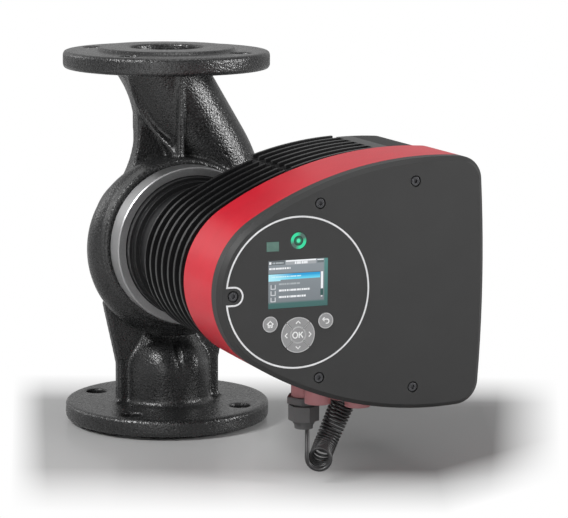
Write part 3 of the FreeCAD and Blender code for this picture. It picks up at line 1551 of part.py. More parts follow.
def gland_seal():
    body = new_body("gland_seal")
    x, y = s.left_entry_x, -s.rear_row_reach
    thread = gland_heights()[2]
    bar(body, "Pad", "ring", x, y, s.gland_bore_radius, thread - s.seal_height, thread)
    bar(body, "Pocket", "hole", x, y, s.cord_radius, thread - s.seal_height, thread)
    return body


def blanking_plugs():
    """Plugs in the two front entries."""
    body = new_body("blanking_plugs")
    for side, (x, reach, bottom) in zip(("left", "right"), entries()[::2]):
        bar(body, "Pad", side + "_plug", x, -reach, s.entry_bore_radius, bottom, bottom + 12)
        bar(body, "Pocket", side + "_slot", x, -reach, 3.2, bottom, bottom + 2)
    return body


def coil_fitting():
    """Sleeve that holds the upper end of the curly cord in its entry."""
    body = new_body("coil_fitting")
    x, y, bottom = s.right_entry_x, -s.rear_row_reach, s.right_entry_bottom
    bar(body, "Pad", "collar", x, y, s.fitting_radius, bottom - s.fitting_height, bottom)
    bar(body, "Pad", "sleeve", x, y, s.entry_bore_radius, bottom, bottom + 10)
    return body


def gland_cord():
    """Straight end of the cord: down out of the gland and forward to the coil."""
    body = new_body("gland_cord")
    bind(body, "Placement.Base.x", s.left_entry_x)
    bind(body, "Placement.Base.y", -s.rear_row_reach)
    thread = gland_heights()[2]
    path = new_sketch(body, "path", "YZ_Plane")
    bend_radius, lean, down = s.cord_bend_radius, s.cord_lean, s.cord_bend_height
    low_y = -(bend_radius * (1 - cosine(lean)))
    low_z = down - bend_radius * sine(lean)
    draw(path, [(0, thread), (0, down, bend_radius, -1), (low_y, low_z),
                (low_y - s.cord_run * sine(lean), low_z - s.cord_run * cosine(lean))], closed=False)
    swept(body, "cord", path, level(body, "profile", thread), s.cord_radius)
    return body


def curly_cord():
    """Coiled part of the cord as one round tube of the coil's outside diameter."""
    body = new_body("curly_cord")
    body.Placement.Rotation = FreeCAD.Rotation(s.coil_yaw.value, s.coil_pitch.value, 0)
    bind(body, "Placement.Base.x", s.right_entry_x)
    bind(body, "Placement.Base.y", -s.rear_row_reach)
    bind(body, "Placement.Base.z", s.axis_height + s.right_entry_bottom - s.fitting_height)
    path = new_sketch(body, "path", "YZ_Plane")
    corner = s.coil_bend
    draw(path, [(0, -s.coil_start), (0, -s.coil_drop, corner, -1), (-corner, -s.coil_drop - corner),
                (-corner - s.coil_run, -s.coil_drop - corner)], closed=False)
    swept(body, "coil", path, level(body, "profile", -s.coil_start), s.coil_radius)
    return body


ASSEMBLY = [
    pump_housing, neck_ring, impeller, impeller_nut, clamp_band, clamp_screw, clamp_nut, housing_o_ring,
    bearing_plate, rotor_can, front_bearing, rear_bearing, thrust_bearing, shaft, rotor_core,
    rotor_magnets, rotor_sleeve, stator_core, stator_windings, stator_housing, end_shield, heat_sink,
    end_cover, box_housing, front_cover, cover_gasket, rear_gasket, cover_screws, box_screws, panel_ring,
    display_window, display_module, status_light, signal_window, home_button, back_button, ok_button,
    up_button, down_button, left_button, right_button, control_board, power_board, capacitors,
    terminal_blocks, gland_body, gland_nut, gland_seal, blanking_plugs, coil_fitting, gland_cord,
    curly_cord,
]
bodies = [make() for make in ASSEMBLY]
doc.recompute()

ADDS = ("PartDesign::Pad", "PartDesign::Revolution", "PartDesign::AdditivePipe")
CUTS = ("PartDesign::Pocket", "PartDesign::Groove")
for item in doc.Objects:
    if "Invalid" in item.State or "Error" in item.State:
        raise RuntimeError("%s did not compute: %s" % (item.Label, item.State))
os.makedirs("parts", exist_ok=True)
for body in bodies:
    volume = 0
    for item in body.Group:
        if item.TypeId in ADDS + CUTS:
            change = item.Shape.Volume - volume
            if change * (1 if item.TypeId in ADDS else -1) <= 0:
                raise RuntimeError("%s in %s changes nothing" % (item.Label, body.Label))
        if item.isDerivedFrom("PartDesign::Feature"):
            volume = item.Shape.Volume
    shape = body.Shape
    if shape.isNull() or not shape.isValid() or shape.Volume <= 0:
        raise RuntimeError("%s has no valid shape" % body.Label)
    shape.exportStep("parts/%s.step" % body.Label)
    print(body.Label, round(shape.Volume / 1000, 2), "cm3", len(shape.Solids))
print("cord radii: gland_cord %s mm, curly_cord %s mm" % (s.cord_radius.value, s.coil_radius.value))
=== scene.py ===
import math

import bmesh
import bpy
from bpy.props import FloatProperty, FloatVectorProperty
from mathutils import Matrix, Vector


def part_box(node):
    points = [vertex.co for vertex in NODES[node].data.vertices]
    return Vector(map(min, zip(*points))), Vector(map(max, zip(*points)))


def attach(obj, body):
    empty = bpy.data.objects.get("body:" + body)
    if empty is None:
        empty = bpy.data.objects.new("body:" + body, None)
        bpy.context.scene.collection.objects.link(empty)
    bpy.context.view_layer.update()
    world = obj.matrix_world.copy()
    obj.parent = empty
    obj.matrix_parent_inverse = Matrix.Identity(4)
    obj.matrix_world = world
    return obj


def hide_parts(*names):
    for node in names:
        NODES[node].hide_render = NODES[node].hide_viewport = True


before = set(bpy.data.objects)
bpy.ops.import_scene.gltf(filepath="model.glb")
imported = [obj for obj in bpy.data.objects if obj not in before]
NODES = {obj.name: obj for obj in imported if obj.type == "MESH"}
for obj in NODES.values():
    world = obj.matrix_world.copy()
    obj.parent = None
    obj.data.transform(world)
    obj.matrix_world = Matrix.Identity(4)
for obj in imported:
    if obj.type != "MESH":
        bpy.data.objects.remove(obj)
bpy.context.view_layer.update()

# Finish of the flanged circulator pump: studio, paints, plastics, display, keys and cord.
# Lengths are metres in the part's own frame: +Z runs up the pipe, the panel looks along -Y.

bl_info = {
    "name": "Circulator Pump Finish",
    "version": (1, 0, 0),
    "blender": (4, 5, 0),
    "location": "3D View > Sidebar > Pump",
    "description": "Dresses the circulator pump in its paints, plastics, display, keys and cord",
    "category": "Object",
}

MM = 0.001
MERGE = 0.005 * MM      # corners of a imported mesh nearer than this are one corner
TURN_POINTS = 16        # steering points in one turn of the coil


def box_middle(node):
    """The middle of a node's box."""
    low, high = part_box(node)
    return (low + high) / 2


PAD_DROP = 34.1 * MM    # from the motor's axis down to the middle of the key pad
AXIS_HEIGHT = box_middle("ok_button").z + PAD_DROP


def length(name, description, default):
    """A size in metres, as the panel shows it."""
    return FloatProperty(name=name, description=description, default=default,
                         unit="LENGTH", precision=5)


def colour(name, description, red, green, blue):
    """A colour in linear light, as the panel shows it."""
    return FloatVectorProperty(name=name, description=description, subtype="COLOR", size=3,
                               min=0.0, max=1.0, default=(red, green, blue))


class PumpSizes(bpy.types.PropertyGroup):
    """Sizes of the pieces that are made here."""

    cord_radius: length("Cord Radius", "Half the thickness of the straight cord", 1.95 * MM)
    turn_radius: length("Turn Thickness", "Half the thickness of the cord in the coil", 1.15 * MM)
    loop_radius: length("Loop Radius", "Centre line radius where the cord enters the coil",
                        10.3 * MM)
    coil_radius: length("Coil Radius", "Centre line radius at the curly cord's free end", 7.9 * MM)
    coil_top: length("Coil Top Radius", "Centre line radius at the curly cord's fitting", 9.4 * MM)
    coil_pitch: length("Coil Pitch", "Distance between the turns of the curly cord", 3.0 * MM)
    casting_grid: length("Casting Grid", "Grid on which the housing's corners run together",
                         1.4 * MM)
    casting_share: FloatProperty(name="Casting Share", default=0.36, min=0.05, max=1.0,
                                 description="Share of the housing's faces that is kept")
    motor_edge: length("Motor Edge", "Softening of a die-cast edge", 0.7 * MM)
    moulded_edge: length("Moulded Edge", "Softening of a moulded edge", 0.5 * MM)
    mark_width: length("Mark Width", "Width of the lines on the keys", 0.95 * MM)
    key_line: length("Key Line", "Width of the pale line round a key", 0.42 * MM)


class PumpColours(bpy.types.PropertyGroup):
    """Colours of the finishes."""

    iron: colour("Cast Iron Paint", "Dipped paint on the housing", 0.0150, 0.0152, 0.0156)
    motor: colour("Motor Paint", "Satin black on the fins", 0.007, 0.007, 0.0075)
    band: colour("Red Band", "Moulding round the control box", 0.54, 0.003, 0.018)
    # painted sheen: the paler, greyer pink of the entries and plugs stands in for lamp light
    # glancing off the red
    entries: colour("Cable Entries", "Duller red of the entries and their plugs", 0.42, 0.18, 0.19)
    cover: colour("Front Cover", "Dark grey moulding of the cover", 0.0255, 0.0255, 0.0255)
    steel: colour("Clamp Steel", "Stainless band round the joint", 0.46, 0.46, 0.465)
    key: colour("Keys", "Silicone keys", 0.255, 0.255, 0.257)
    key_edge: colour("Key Lines", "Pale lines between and around the keys", 0.46, 0.46, 0.465)
    mark: colour("Key Marks", "Printed marks on the keys", 0.74, 0.74, 0.74)
    light: colour("Status Light", "Glow of the status ring", 0.015, 0.68, 0.33)
    screen: colour("Display Ground", "Ground of the display", 0.20, 0.225, 0.245)
    bar: colour("Display Bar", "Chosen row of the display", 0.01, 0.32, 0.66)
    shade: colour("Display Shade", "Dim right and lower edges of the display", 0.050, 0.150, 0.140)
    cord: colour("Cord Jacket", "Grey of the signal cord", 0.030, 0.030, 0.031)
    floor: colour("Floor", "Pale studio floor", 0.90, 0.90, 0.90)
    # painted soft shade: the floor patch is a greyer floor tone round the pump, fading to the pale
    # floor further out
    patch: colour("Floor Patch", "Greyer floor around the pump", 0.49, 0.49, 0.49)
    # painted shadow: the darkest floor tone, laid under the control head where its shadow falls
    painted_shadow_tone: colour("Shaded Floor", "Darkest floor under the control head", 0.25, 0.25, 0.25)


class Value:
    """A socket's value, so that sums over a surface read as plain arithmetic."""

    def __init__(self, finish, socket):
        self.finish = finish
        self.socket = socket

    def maths(self, operation, *terms):
        return self.finish.node("ShaderNodeMath", {"operation": operation},
                                dict(enumerate(terms)))

    def __add__(self, other):
        return self.maths("ADD", self, other)

    def __radd__(self, other):
        return self.maths("ADD", other, self)

    def __sub__(self, other):
        return self.maths("SUBTRACT", self, other)

    def __rsub__(self, other):
        return self.maths("SUBTRACT", other, self)

    def __mul__(self, other):
        return self.maths("MULTIPLY", self, other)

    def __rmul__(self, other):
        return self.maths("MULTIPLY", other, self)

    def __truediv__(self, other):
        return self.maths("DIVIDE", self, other)

    def __rtruediv__(self, other):
        return self.maths("DIVIDE", other, self)

    def __lt__(self, other):
        return self.maths("LESS_THAN", self, other)

    def __gt__(self, other):
        return self.maths("GREATER_THAN", self, other)

    def __abs__(self):
        return self.maths("ABSOLUTE", self)

    def root(self):
        return self.maths("SQRT", self)

    def most(self, other):
        return self.maths("MAXIMUM", self, other)


class Finish:
    """The nodes of one material or world, each added by the same method."""

    def __init__(self, name, kind="materials"):
        self.block = getattr(bpy.data, kind).new(name)
        self.block.use_nodes = True
        self.tree = self.block.node_tree
        self.tree.nodes.clear()

    def node(self, kind, settings=(), inputs=(), output=0):
        """Adds a node: its settings first, then the values or links of its sockets."""
        made = self.tree.nodes.new(kind)
        for name, value in dict(settings).items():
            setattr(made, name, value)
        for name, value in dict(inputs).items():
            socket = made.inputs[name]
            if isinstance(value, Value):
                self.tree.links.new(value.socket, socket)
            elif socket.type == "RGBA" and len(value) == 3:
                socket.default_value = (*value, 1.0)
            else:
                socket.default_value = value
        return Value(self, made.outputs[output] if len(made.outputs) else None)

    def place(self):
        return self.node("ShaderNodeTexCoord", {}, {}, "Object")

    def axes(self, place=None):
        """Distances along X, Y and Z, from the part's own origin unless a place is given."""
        place = place or self.place()
        return [self.node("ShaderNodeSeparateXYZ", {}, {0: place}, axis) for axis in "XYZ"]

    def noise(self, scale, detail=2.0, roughness=0.5):
        return self.node("ShaderNodeTexNoise", {}, {
            "Vector": self.place(), "Scale": scale, "Detail": detail,
            "Roughness": roughness}, "Fac")

    def pits(self, scale):
        return self.node("ShaderNodeTexVoronoi", {"feature": "F1"}, {
            "Vector": self.place(), "Scale": scale}, "Distance")

    def mix(self, factor, first, second):
        """A colour between two, by a factor."""
        return self.node("ShaderNodeMix", {"data_type": "RGBA"},
                         {0: factor, 6: first, 7: second}, 2)

    def within(self, value, low, high):
        """1 between two values, 0 elsewhere."""
        return (value > low) * (value < high)

    def fade(self, value, start, end, first=0.0, last=1.0):
        """A straight change from one number to another, held outside its ends."""
        return self.node("ShaderNodeMapRange", {"clamp": True}, {
            "Value": value, "From Min": start, "From Max": end,
            "To Min": first, "To Max": last}, "Result")

    def soft_edge(self, radius):
        """A normal that rounds the edges of a moulding."""
        return self.node("ShaderNodeBevel", {"samples": 6}, {"Radius": radius}, "Normal")

    def bump(self, height, depth, normal=None):
        inputs = {"Height": height, "Distance": depth, "Strength": 1.0}
        if normal:
            inputs["Normal"] = normal
        return self.node("ShaderNodeBump", {}, inputs, "Normal")

    def shader(self, **inputs):
        """A painted, moulded or metal shader whose sockets are named in words."""
        named = {name.replace("_", " ").title().replace("Ior", "IOR"): value
                 for name, value in inputs.items()}
        return self.node("ShaderNodeBsdfPrincipled", {}, named, "BSDF")

    def surface(self, **inputs):
        """Closes the material with one shader."""
        return self.close(self.shader(**inputs))

    def close(self, shader, kind="ShaderNodeOutputMaterial"):
        self.node(kind, {}, {"Surface": shader})
        return self.block


def shades(colour_value, factor):
    """A colour made lighter or darker."""
    return tuple(min(1.0, part * factor) for part in colour_value)


def cast_iron(colours):
    """Dipped paint over sand-cast iron: coarse skin, fine grain and glossy high spots."""
    f = Finish("cast_iron_paint")
    skin = f.noise(560.0, 1.0, 0.5)
    grain = f.noise(760.0, 2.0, 0.6)
    pits = f.fade(f.pits(520.0), 0.05, 0.5)
    waves = f.noise(70.0, 3.0, 0.5)
    speckle = f.mix(f.fade(grain, 0.40, 0.62), shades(colours.iron, 0.2),
                    shades(colours.iron, 2.1))
    tint = f.mix(f.fade(waves, 0.35, 0.7), speckle, shades(colours.iron, 1.3))
    height = skin + grain * 0.3 + pits * 0.3
    return f.surface(base_color=tint, roughness=f.fade(skin, 0.35, 0.65, 0.21, 0.35),
                     specular_ior_level=0.6, normal=f.bump(height, 0.42 * MM))


def motor_paint(colours, edge):
    """Satin black paint on die-cast aluminium."""
    f = Finish("motor_paint")
    grain = f.noise(1800.0, 3.0, 0.6)
    tint = f.mix(f.fade(grain, 0.3, 0.7), shades(colours.motor, 0.8), shades(colours.motor, 1.3))
    return f.surface(base_color=tint, roughness=f.fade(grain, 0.3, 0.7, 0.30, 0.44),
                     normal=f.bump(grain, 0.03 * MM, f.soft_edge(edge)))


def moulding(name, tint, roughness, edge, grain_depth=0.012, gloss=0.4, patch=None):
    """Injection moulding with a spark-eroded grain, and a second colour where a patch says so."""
    f = Finish(name)
    grain = f.noise(2600.0, 2.0, 0.6)
    haze = f.noise(40.0, 2.0, 0.5)
    shade = f.mix(f.fade(haze, 0.3, 0.7), shades(tint, 0.95), shades(tint, 1.05))
    if patch:
        where, second = patch
        shade = f.mix(where(f), shade, second)
    return f.surface(base_color=shade, specular_ior_level=gloss,
                     roughness=f.fade(grain, 0.3, 0.7, roughness - 0.05, roughness + 0.06),
                     normal=f.bump(grain, grain_depth * MM, f.soft_edge(edge)))


def on_entries(f):
    """1 on the four cable entries under the control box, where the painted sheen goes, 0
    elsewhere.
    """
    reach, top = 10.9 * MM, AXIS_HEIGHT - 80 * MM
    x, y, z = f.axes()
    left, right, front = (box_middle(node)
                          for node in ("gland_body", "coil_fitting", "blanking_plugs"))
    over = abs(x - (left.x + right.x) / 2) - (right.x - left.x) / 2
    along = abs(y - (left.y + front.y) / 2) - (left.y - front.y) / 2
    return ((over * over + along * along).root() < reach) * (z < top)


def metal(name, tint, roughness, edge=0.3 * MM):
    """Bare metal with fine marks from turning or rolling."""
    f = Finish(name)
    grain = f.noise(900.0, 4.0, 0.7)
    shade = f.mix(f.fade(grain, 0.3, 0.7), shades(tint, 0.85), shades(tint, 1.1))
    return f.surface(base_color=shade, metallic=1.0,
                     roughness=f.fade(grain, 0.3, 0.7, roughness - 0.06, roughness + 0.08),
                     normal=f.bump(grain, 0.01 * MM, f.soft_edge(edge)))


def dress(material, *names):
    """Gives CAD nodes one finish."""
    for name in names:
        slots = NODES[name].data.materials
        slots.clear()
        slots.append(material)


def pump_colours():
    return bpy.context.scene.pump_colours


def pump_sizes():
    return bpy.context.scene.pump_sizes


class PUMP_OT_studio(bpy.types.Operator):
    """Camera, floor, lamps and world"""

    bl_idname = "pump.studio"
    bl_label = "Studio"

    def execute(self, context):
        self.camera(context.scene)
        self.floor()
        self.lamps()
        self.world(context.scene)
        return {"FINISHED"}

    def camera(self, scene):
        """A long lens a little above the panel and to its left."""
        azimuth, elevation, roll = (math.radians(angle) for angle in (-22.161, 9.8, 0.366))
        distance, aside, below = 2.100774, 51.205 * MM, 8.387 * MM
        target = Vector((0, -0.150, AXIS_HEIGHT))
        back = Vector((math.sin(azimuth) * math.cos(elevation),
                       -math.cos(azimuth) * math.cos(elevation), math.sin(elevation)))
        right = (-back).cross(Vector((0, 0, 1))).normalized()
        up = right.cross(-back)
        aim = target + right * aside - up * below
        across = right * math.cos(roll) + up * math.sin(roll)
        above = up * math.cos(roll) - right * math.sin(roll)
        lens = bpy.data.cameras.new("camera")
        lens.sensor_width, lens.lens = 36.0, 156.74
        lens.shift_x, lens.shift_y = -0.0032, 0.0207
        lens.clip_start, lens.clip_end = 0.1, 60.0
        camera = bpy.data.objects.new("camera", lens)
        camera.matrix_world = Matrix.Translation(aim + back * distance) @ Matrix(
            (across, above, back)).transposed().to_4x4()
        scene.collection.objects.link(camera)
        scene.camera = camera

    def floor(self):
        """A white floor with a greyer, softly bounded patch round the pump: painted soft shade,
        with a darker painted shadow under the control head.
        """
        c = pump_colours()
        mesh = bmesh.new()
        bmesh.ops.create_circle(mesh, cap_ends=True, segments=96, radius=14.0)
        f = Finish("studio_floor")
        x, y, _ = f.axes()
        heading = (0.926, 0.377)
        aside = x * heading[0] - y * heading[1]
        along = x * heading[1] + y * heading[0]
        speckle = f.noise(900.0, 2.0, 0.5)
        # painted shadow of the control head: a darker floor tone to the right of and behind the
        # pump's foot
        painted_head_shadow = (f.fade(aside, 0.08, 0.15) * f.fade(aside, 0.375, 0.29)
                   * f.fade(along, 0.15, 0.05))
        grey = f.mix(painted_head_shadow, c.patch, c.painted_shadow_tone)
        # the painted soft shade of the grey patch thins out to the pale floor away from the pump
        grey = f.mix(f.fade(abs(along), 0.25, 0.6), grey, c.floor)
        paint = f.shader(base_color=grey, specular_ior_level=0.025,
                         roughness=f.fade(speckle, 0.3, 0.7, 0.16, 0.22))
        white = f.node("ShaderNodeEmission", {}, {"Color": (1.0, 1.0, 1.0), "Strength": 1.0})
        corner = along - (aside - 0.235).most(0.0) * 1.1
        front = f.fade(corner, -0.325, -0.185)
        rear = f.fade(along, 0.185, 0.070)
        left = f.fade(aside + along * 0.104, -0.142, -0.112)
        right = f.fade(aside - along * 0.1, 0.360, 0.300)
        far = 1.0 - front * rear * left * right
        seen = f.node("ShaderNodeLightPath", {}, {}, "Is Camera Ray")
        f.close(f.node("ShaderNodeMixShader", {}, {0: far * seen, 1: paint, 2: white}))
        finished("studio_floor", mesh, f.block)

    def lamps(self):
        """Square soft lamps, each turned to the middle of the pump."""
        target = Vector((0.02, -0.12, 0.17))
        for name, place, size, power in (
                ("key_softbox", (-1.9, -0.8, 1.9), 0.8, 54.0),
                ("top_softbox", (0.3, -0.2, 2.6), 1.2, 12.0),
                ("right_softbox", (1.9, -1.4, 0.8), 0.7, 38.0),
                ("front_softbox", (-1.3, -2.2, 0.5), 1.4, 12.0),
                ("rear_softbox", (-1.5, 1.7, 1.2), 1.0, 8.0)):
            light = bpy.data.lights.new(name, "AREA")
            light.shape, light.size, light.energy = "SQUARE", size, power
            lamp = bpy.data.objects.new(name, light)
            lamp.location = place
            lamp.rotation_mode = "QUATERNION"
            lamp.rotation_quaternion = (target - Vector(place)).to_track_quat("-Z", "Y")
            bpy.context.scene.collection.objects.link(lamp)

    def world(self, scene):
        """White to the eye, grey in reflections and dim as a light."""
        f = Finish("studio_world", "worlds")
        seen = f.node("ShaderNodeLightPath", {}, {}, "Is Camera Ray")
        glossy = f.node("ShaderNodeLightPath", {}, {}, "Is Glossy Ray")
        direction = f.node("ShaderNodeTexCoord", {}, {}, "Generated")
        behind = f.fade(f.axes(direction)[1], -0.2, 0.7, 0.25, 0.55)
        fill = (1.0 - glossy) * 0.16
        ground = f.node("ShaderNodeBackground", {}, {
            "Color": (1.0, 1.0, 1.0), "Strength": seen.most(glossy * behind).most(fill)})
        scene.world = f.close(ground, "ShaderNodeOutputWorld")
        scene.view_settings.view_transform = "Standard"


def finished(name, mesh, material=None, smooth=True):
    """Turns a bmesh into an object at the origin."""
    data = bpy.data.meshes.new(name)
    bmesh.ops.recalc_face_normals(mesh, faces=mesh.faces)
    for face in mesh.faces:
        face.smooth = smooth
    mesh.to_mesh(data)
    mesh.free()
    piece = bpy.data.objects.new(name, data)
    if material:
        data.materials.append(material)
    bpy.context.scene.collection.objects.link(piece)
    return piece


def smooth_line(name, points):
    """A smooth curve steered by the given points, in metres."""
    curve = bpy.data.curves.new(name, "CURVE")
    curve.dimensions = "3D"
    spline = curve.splines.new("NURBS")
    spline.points.add(len(points) - 1)
    for target, point in zip(spline.points, points):
        target.co = (*point, 1.0)
    spline.order_u, spline.use_endpoint_u = 3, True
    return curve


def meshed(curve):
    """The mesh of a curve, which is then removed."""
    line = bpy.data.objects.new(curve.name, curve)
    data = bpy.data.meshes.new_from_object(line)
    bpy.data.objects.remove(line)
    bpy.data.curves.remove(curve)
    return data


def hump(away, width):
    """1 in the middle, dying away over a width."""
    return math.exp(-(away / width) ** 2)


def share(value, start, end):
    """How far a value is on its way from one number to another, held between 0 and 1."""
    return min(1.0, max(0.0, (value - start) / (end - start)))


class PUMP_OT_cord(bpy.types.Operator):
    """Signal cord: out of the gland, round the coil and into the fitting"""

    bl_idname = "pump.cord"
    bl_label = "Signal Cord"

    def execute(self, context):
        s = pump_sizes()
        drop = [Vector(point) * MM for point in (
            (28.8, -256.0, 59.0), (30.2, -256.6, 54.0), (31.4, -257.3, 48.5),
            (31.0, -258.5, 43.0), (29.6, -262.0, 35.0), (28.1, -265.6, 28.0))]
        points = drop + self.helix(self.route(), s)
        curve = smooth_line("signal_cord", points)
        curve.bevel_depth, curve.bevel_resolution = s.cord_radius, 3
        curve.resolution_u, curve.render_resolution_u = 3, 3
        curve.use_fill_caps = True
        thinned = s.turn_radius / s.cord_radius
        for step, target in enumerate(curve.splines[0].points):
            target.radius = 1.0 + (thinned - 1.0) * share(step - len(drop), 0, TURN_POINTS)
        curve.materials.append(self.jacket())
        cord = bpy.data.objects.new("signal_cord", curve)
        context.scene.collection.objects.link(cord)
        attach(cord, "head")
        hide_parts("gland_cord", "curly_cord")
        span = sum((b - a).length for a, b in zip(points, points[1:]))
        return {"FINISHED"}

    def jacket(self):
        """Soft grey plastic of the cord."""
        c = pump_colours()
        f = Finish("cord_jacket")
        grain = f.noise(2200.0, 2.0, 0.5)
        tint = f.mix(f.fade(grain, 0.35, 0.65), shades(c.cord, 0.85), shades(c.cord, 1.2))
        return f.surface(base_color=tint, roughness=f.fade(grain, 0.3, 0.7, 0.30, 0.42),
                         specular_ior_level=0.6, normal=f.bump(grain, 0.01 * MM))

    def route(self):
        """Centre line of the coil from its open end up to the fitting."""
        start = Vector((64.1, -256.0, 65.0)) * MM
        along = Vector((0.4509, 0.8926, 0.0))
        above = Vector((0.3373, -0.1704, 0.9259))
        curve = smooth_line("route", [start + (along * y + above * z) * MM for y, z in (
            (-26.7, -46.0), (-18.5, -45.5), (-7.5, -38.5), (-1.0, -22.0), (0.0, 1.0))])
        curve.resolution_u = 24
        mesh = meshed(curve)
        points = [vertex.co.copy() for vertex in mesh.vertices]
        bpy.data.meshes.remove(mesh)
        return points

    def helix(self, route, s):
        """Turns round the route, wide at the open end and opening out towards the fitting."""
        whole = [0.0]
        for a, b in zip(route, route[1:]):
            whole.append(whole[-1] + (b - a).length)
        count = int(whole[-1] / s.coil_pitch * TURN_POINTS)
        side = Vector((-1.0, 0.0, 0.0))
        points = []
        spot = 0
        for step in range(count + 1):
            distance = whole[-1] * step / count
            while spot < len(route) - 2 and whole[spot + 1] < distance:
                spot += 1
            part = (distance - whole[spot]) / (whole[spot + 1] - whole[spot])
            centre = route[spot].lerp(route[spot + 1], part)
            tangent = (route[spot + 1] - route[spot]).normalized()
            first = (side - tangent * side.dot(tangent)).normalized()
            second = first.cross(tangent)
            angle = 2 * math.pi * step / TURN_POINTS
            loop = max(0.0, 1.0 - step / (1.2 * TURN_POINTS)) ** 1.5
            grown = s.coil_radius + (s.coil_top - s.coil_radius) * step / count
            grown += (s.loop_radius - s.coil_radius) * loop
            radius = grown / math.cos(math.pi / TURN_POINTS)
            points.append(centre + (first * math.cos(angle) + second * math.sin(angle)) * radius)
        return points


class PUMP_OT_housing(bpy.types.Operator):
    """Painted cast housing, its flanges and the clamp round the joint"""

    bl_idname = "pump.housing"
    bl_label = "Pump Housing"

    def execute(self, context):
        c = pump_colours()
        paint = cast_iron(c)
        dress(paint, "pump_housing")
        self.casting(paint, pump_sizes())
        dress(metal("clamp_steel", c.steel, 0.40), "clamp_band", "clamp_screw", "clamp_nut")
        return {"FINISHED"}

    def casting(self, paint, s):
        """The housing with its corners run together as a sand mould leaves them."""
        foot, head, rim = 20.0 * MM, 320.0 * MM, 84.0 * MM
        mesh = bmesh.new()
        mesh.from_mesh(NODES["pump_housing"].data)
        bmesh.ops.remove_doubles(mesh, verts=mesh.verts, dist=MERGE)
        self.ribs(mesh)
        rough = finished("casting_rough", mesh)
        remesh = rough.modifiers.new("run", "REMESH")
        remesh.mode, remesh.voxel_size = "VOXEL", s.casting_grid
        mesh = self.taken(rough)
        walls = [v for v in mesh.verts if foot < v.co.z < head]
        rims = [v for v in mesh.verts if v.co.xy.length > rim]
        for verts in (rims, walls, walls, walls):
            bmesh.ops.smooth_vert(mesh, verts=verts, factor=0.5, use_axis_x=True,
                                  use_axis_y=True, use_axis_z=True)
        mesh.normal_update()
        self.lobes(mesh)
        rough = finished("casting_rough", mesh)
        thin = rough.modifiers.new("thin", "DECIMATE")
        thin.ratio = s.casting_share
        piece = finished("housing_casting", self.taken(rough), paint)
        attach(piece, "pump_body")
        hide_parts("pump_housing")

    def ribs(self, mesh):
        """Two round ribs on the upper duct: one upright, one that winds down beside it."""
        upright = [(-1.5, -39.5, 326.0), (-1.5, -39.5, 300.0), (-1.5, -39.5, 270.0),
                   (-1.5, -39.0, 244.0)]
        winding = [(-42.0, -20.0, 324.0), (-39.5, -18.5, 313.0), (-34.0, -12.5, 298.0),
                   (-25.0, -11.0, 279.0), (-14.0, -16.5, 263.0), (-4.0, -31.0, 251.0),
                   (-2.5, -34.0, 244.0)]
        for radius, points in ((2.6, upright), (3.2, winding)):
            curve = smooth_line("rib", [Vector(point) * MM for point in points])
            curve.bevel_depth, curve.bevel_resolution = radius * MM, 2
            curve.use_fill_caps = True
            data = meshed(curve)
            mesh.from_mesh(data)
            bpy.data.meshes.remove(data)

    def taken(self, piece):
        """The piece's mesh with its modifiers in it; the piece itself goes."""
        bpy.context.view_layer.update()
        graph = bpy.context.evaluated_depsgraph_get()
        data = bpy.data.meshes.new_from_object(piece.evaluated_get(graph))
        mesh = bmesh.new()
        mesh.from_mesh(data)
        old = piece.data
        bpy.data.objects.remove(piece)
        bpy.data.meshes.remove(old)
        bpy.data.meshes.remove(data)
        return mesh

    def lobes(self, mesh):
        """Two lobes on the foot of the neck, with a fold between them and a lip beside it."""
        bulge, lip_height, fold_depth = 2.6, 1.2, 4.0
        for vertex in mesh.verts:
            x, y, z = vertex.co / MM
            if not (22.0 < z < 84.0 and y < -6.0 and abs(x) < 40.0):
                continue
            left = hump(x + 17.0, 10.0) * hump(z - 58.0, 20.0)
            right = hump(x - 15.0, 9.0) * hump(z - 60.0, 18.0)
            lip = hump(x - 3.5, 2.2) * hump(z - 68.0, 8.0)
            fold = hump(x + 1.0 - (z - 60.0) * 0.05, 2.1) * share(z, 56.0, 72.0)
            fold += 0.3 * hump(x + 1.0, 5.0) * share(z, 34.0, 59.0)
            vertex.co += vertex.normal * MM * (
                bulge * (left + right) + lip_height * lip - fold_depth * fold)


class PUMP_OT_motor(bpy.types.Operator):
    """Finned motor housing, heat sink and covers"""

    bl_idname = "pump.motor"
    bl_label = "Motor"

    def execute(self, context):
        s = pump_sizes()
        dress(motor_paint(pump_colours(), s.motor_edge), "stator_housing", "heat_sink")
        black = (0.015, 0.015, 0.0155)
        dress(moulding("black_moulding", black, 0.55, s.moulded_edge, 0.02, gloss=0.25),
              "end_shield", "end_cover")
        return {"FINISHED"}


class PUMP_OT_head(bpy.types.Operator):
    """Control box, front cover, gaskets and screws"""

    bl_idname = "pump.head"
    bl_label = "Control Head"

    def execute(self, context):
        c, s = pump_colours(), pump_sizes()
        # the cable entries and the blanking plugs take a paler pink, a painted sheen, over the red
        dress(moulding("red_moulding", c.band, 0.36, 0.7 * MM,
                       patch=(on_entries, c.entries)), "box_housing")
        dress(moulding("plug_moulding", c.entries, 0.5, 0.4 * MM), "blanking_plugs")
        dress(moulding("cover_moulding", c.cover, 0.5, s.moulded_edge), "front_cover")
        dress(moulding("rubber", (0.012, 0.012, 0.012), 0.6, 0.3 * MM),
              "cover_gasket", "rear_gasket", "housing_o_ring", "gland_seal")
        dress(metal("black_steel", (0.09, 0.09, 0.095), 0.38), "cover_screws", "box_screws")
        return {"FINISHED"}


def panel_place(f):
    """Distances right of and above the motor axis on the panel, in millimetres."""
    x, _, z = f.axes()
    return x / MM, (z - AXIS_HEIGHT) / MM


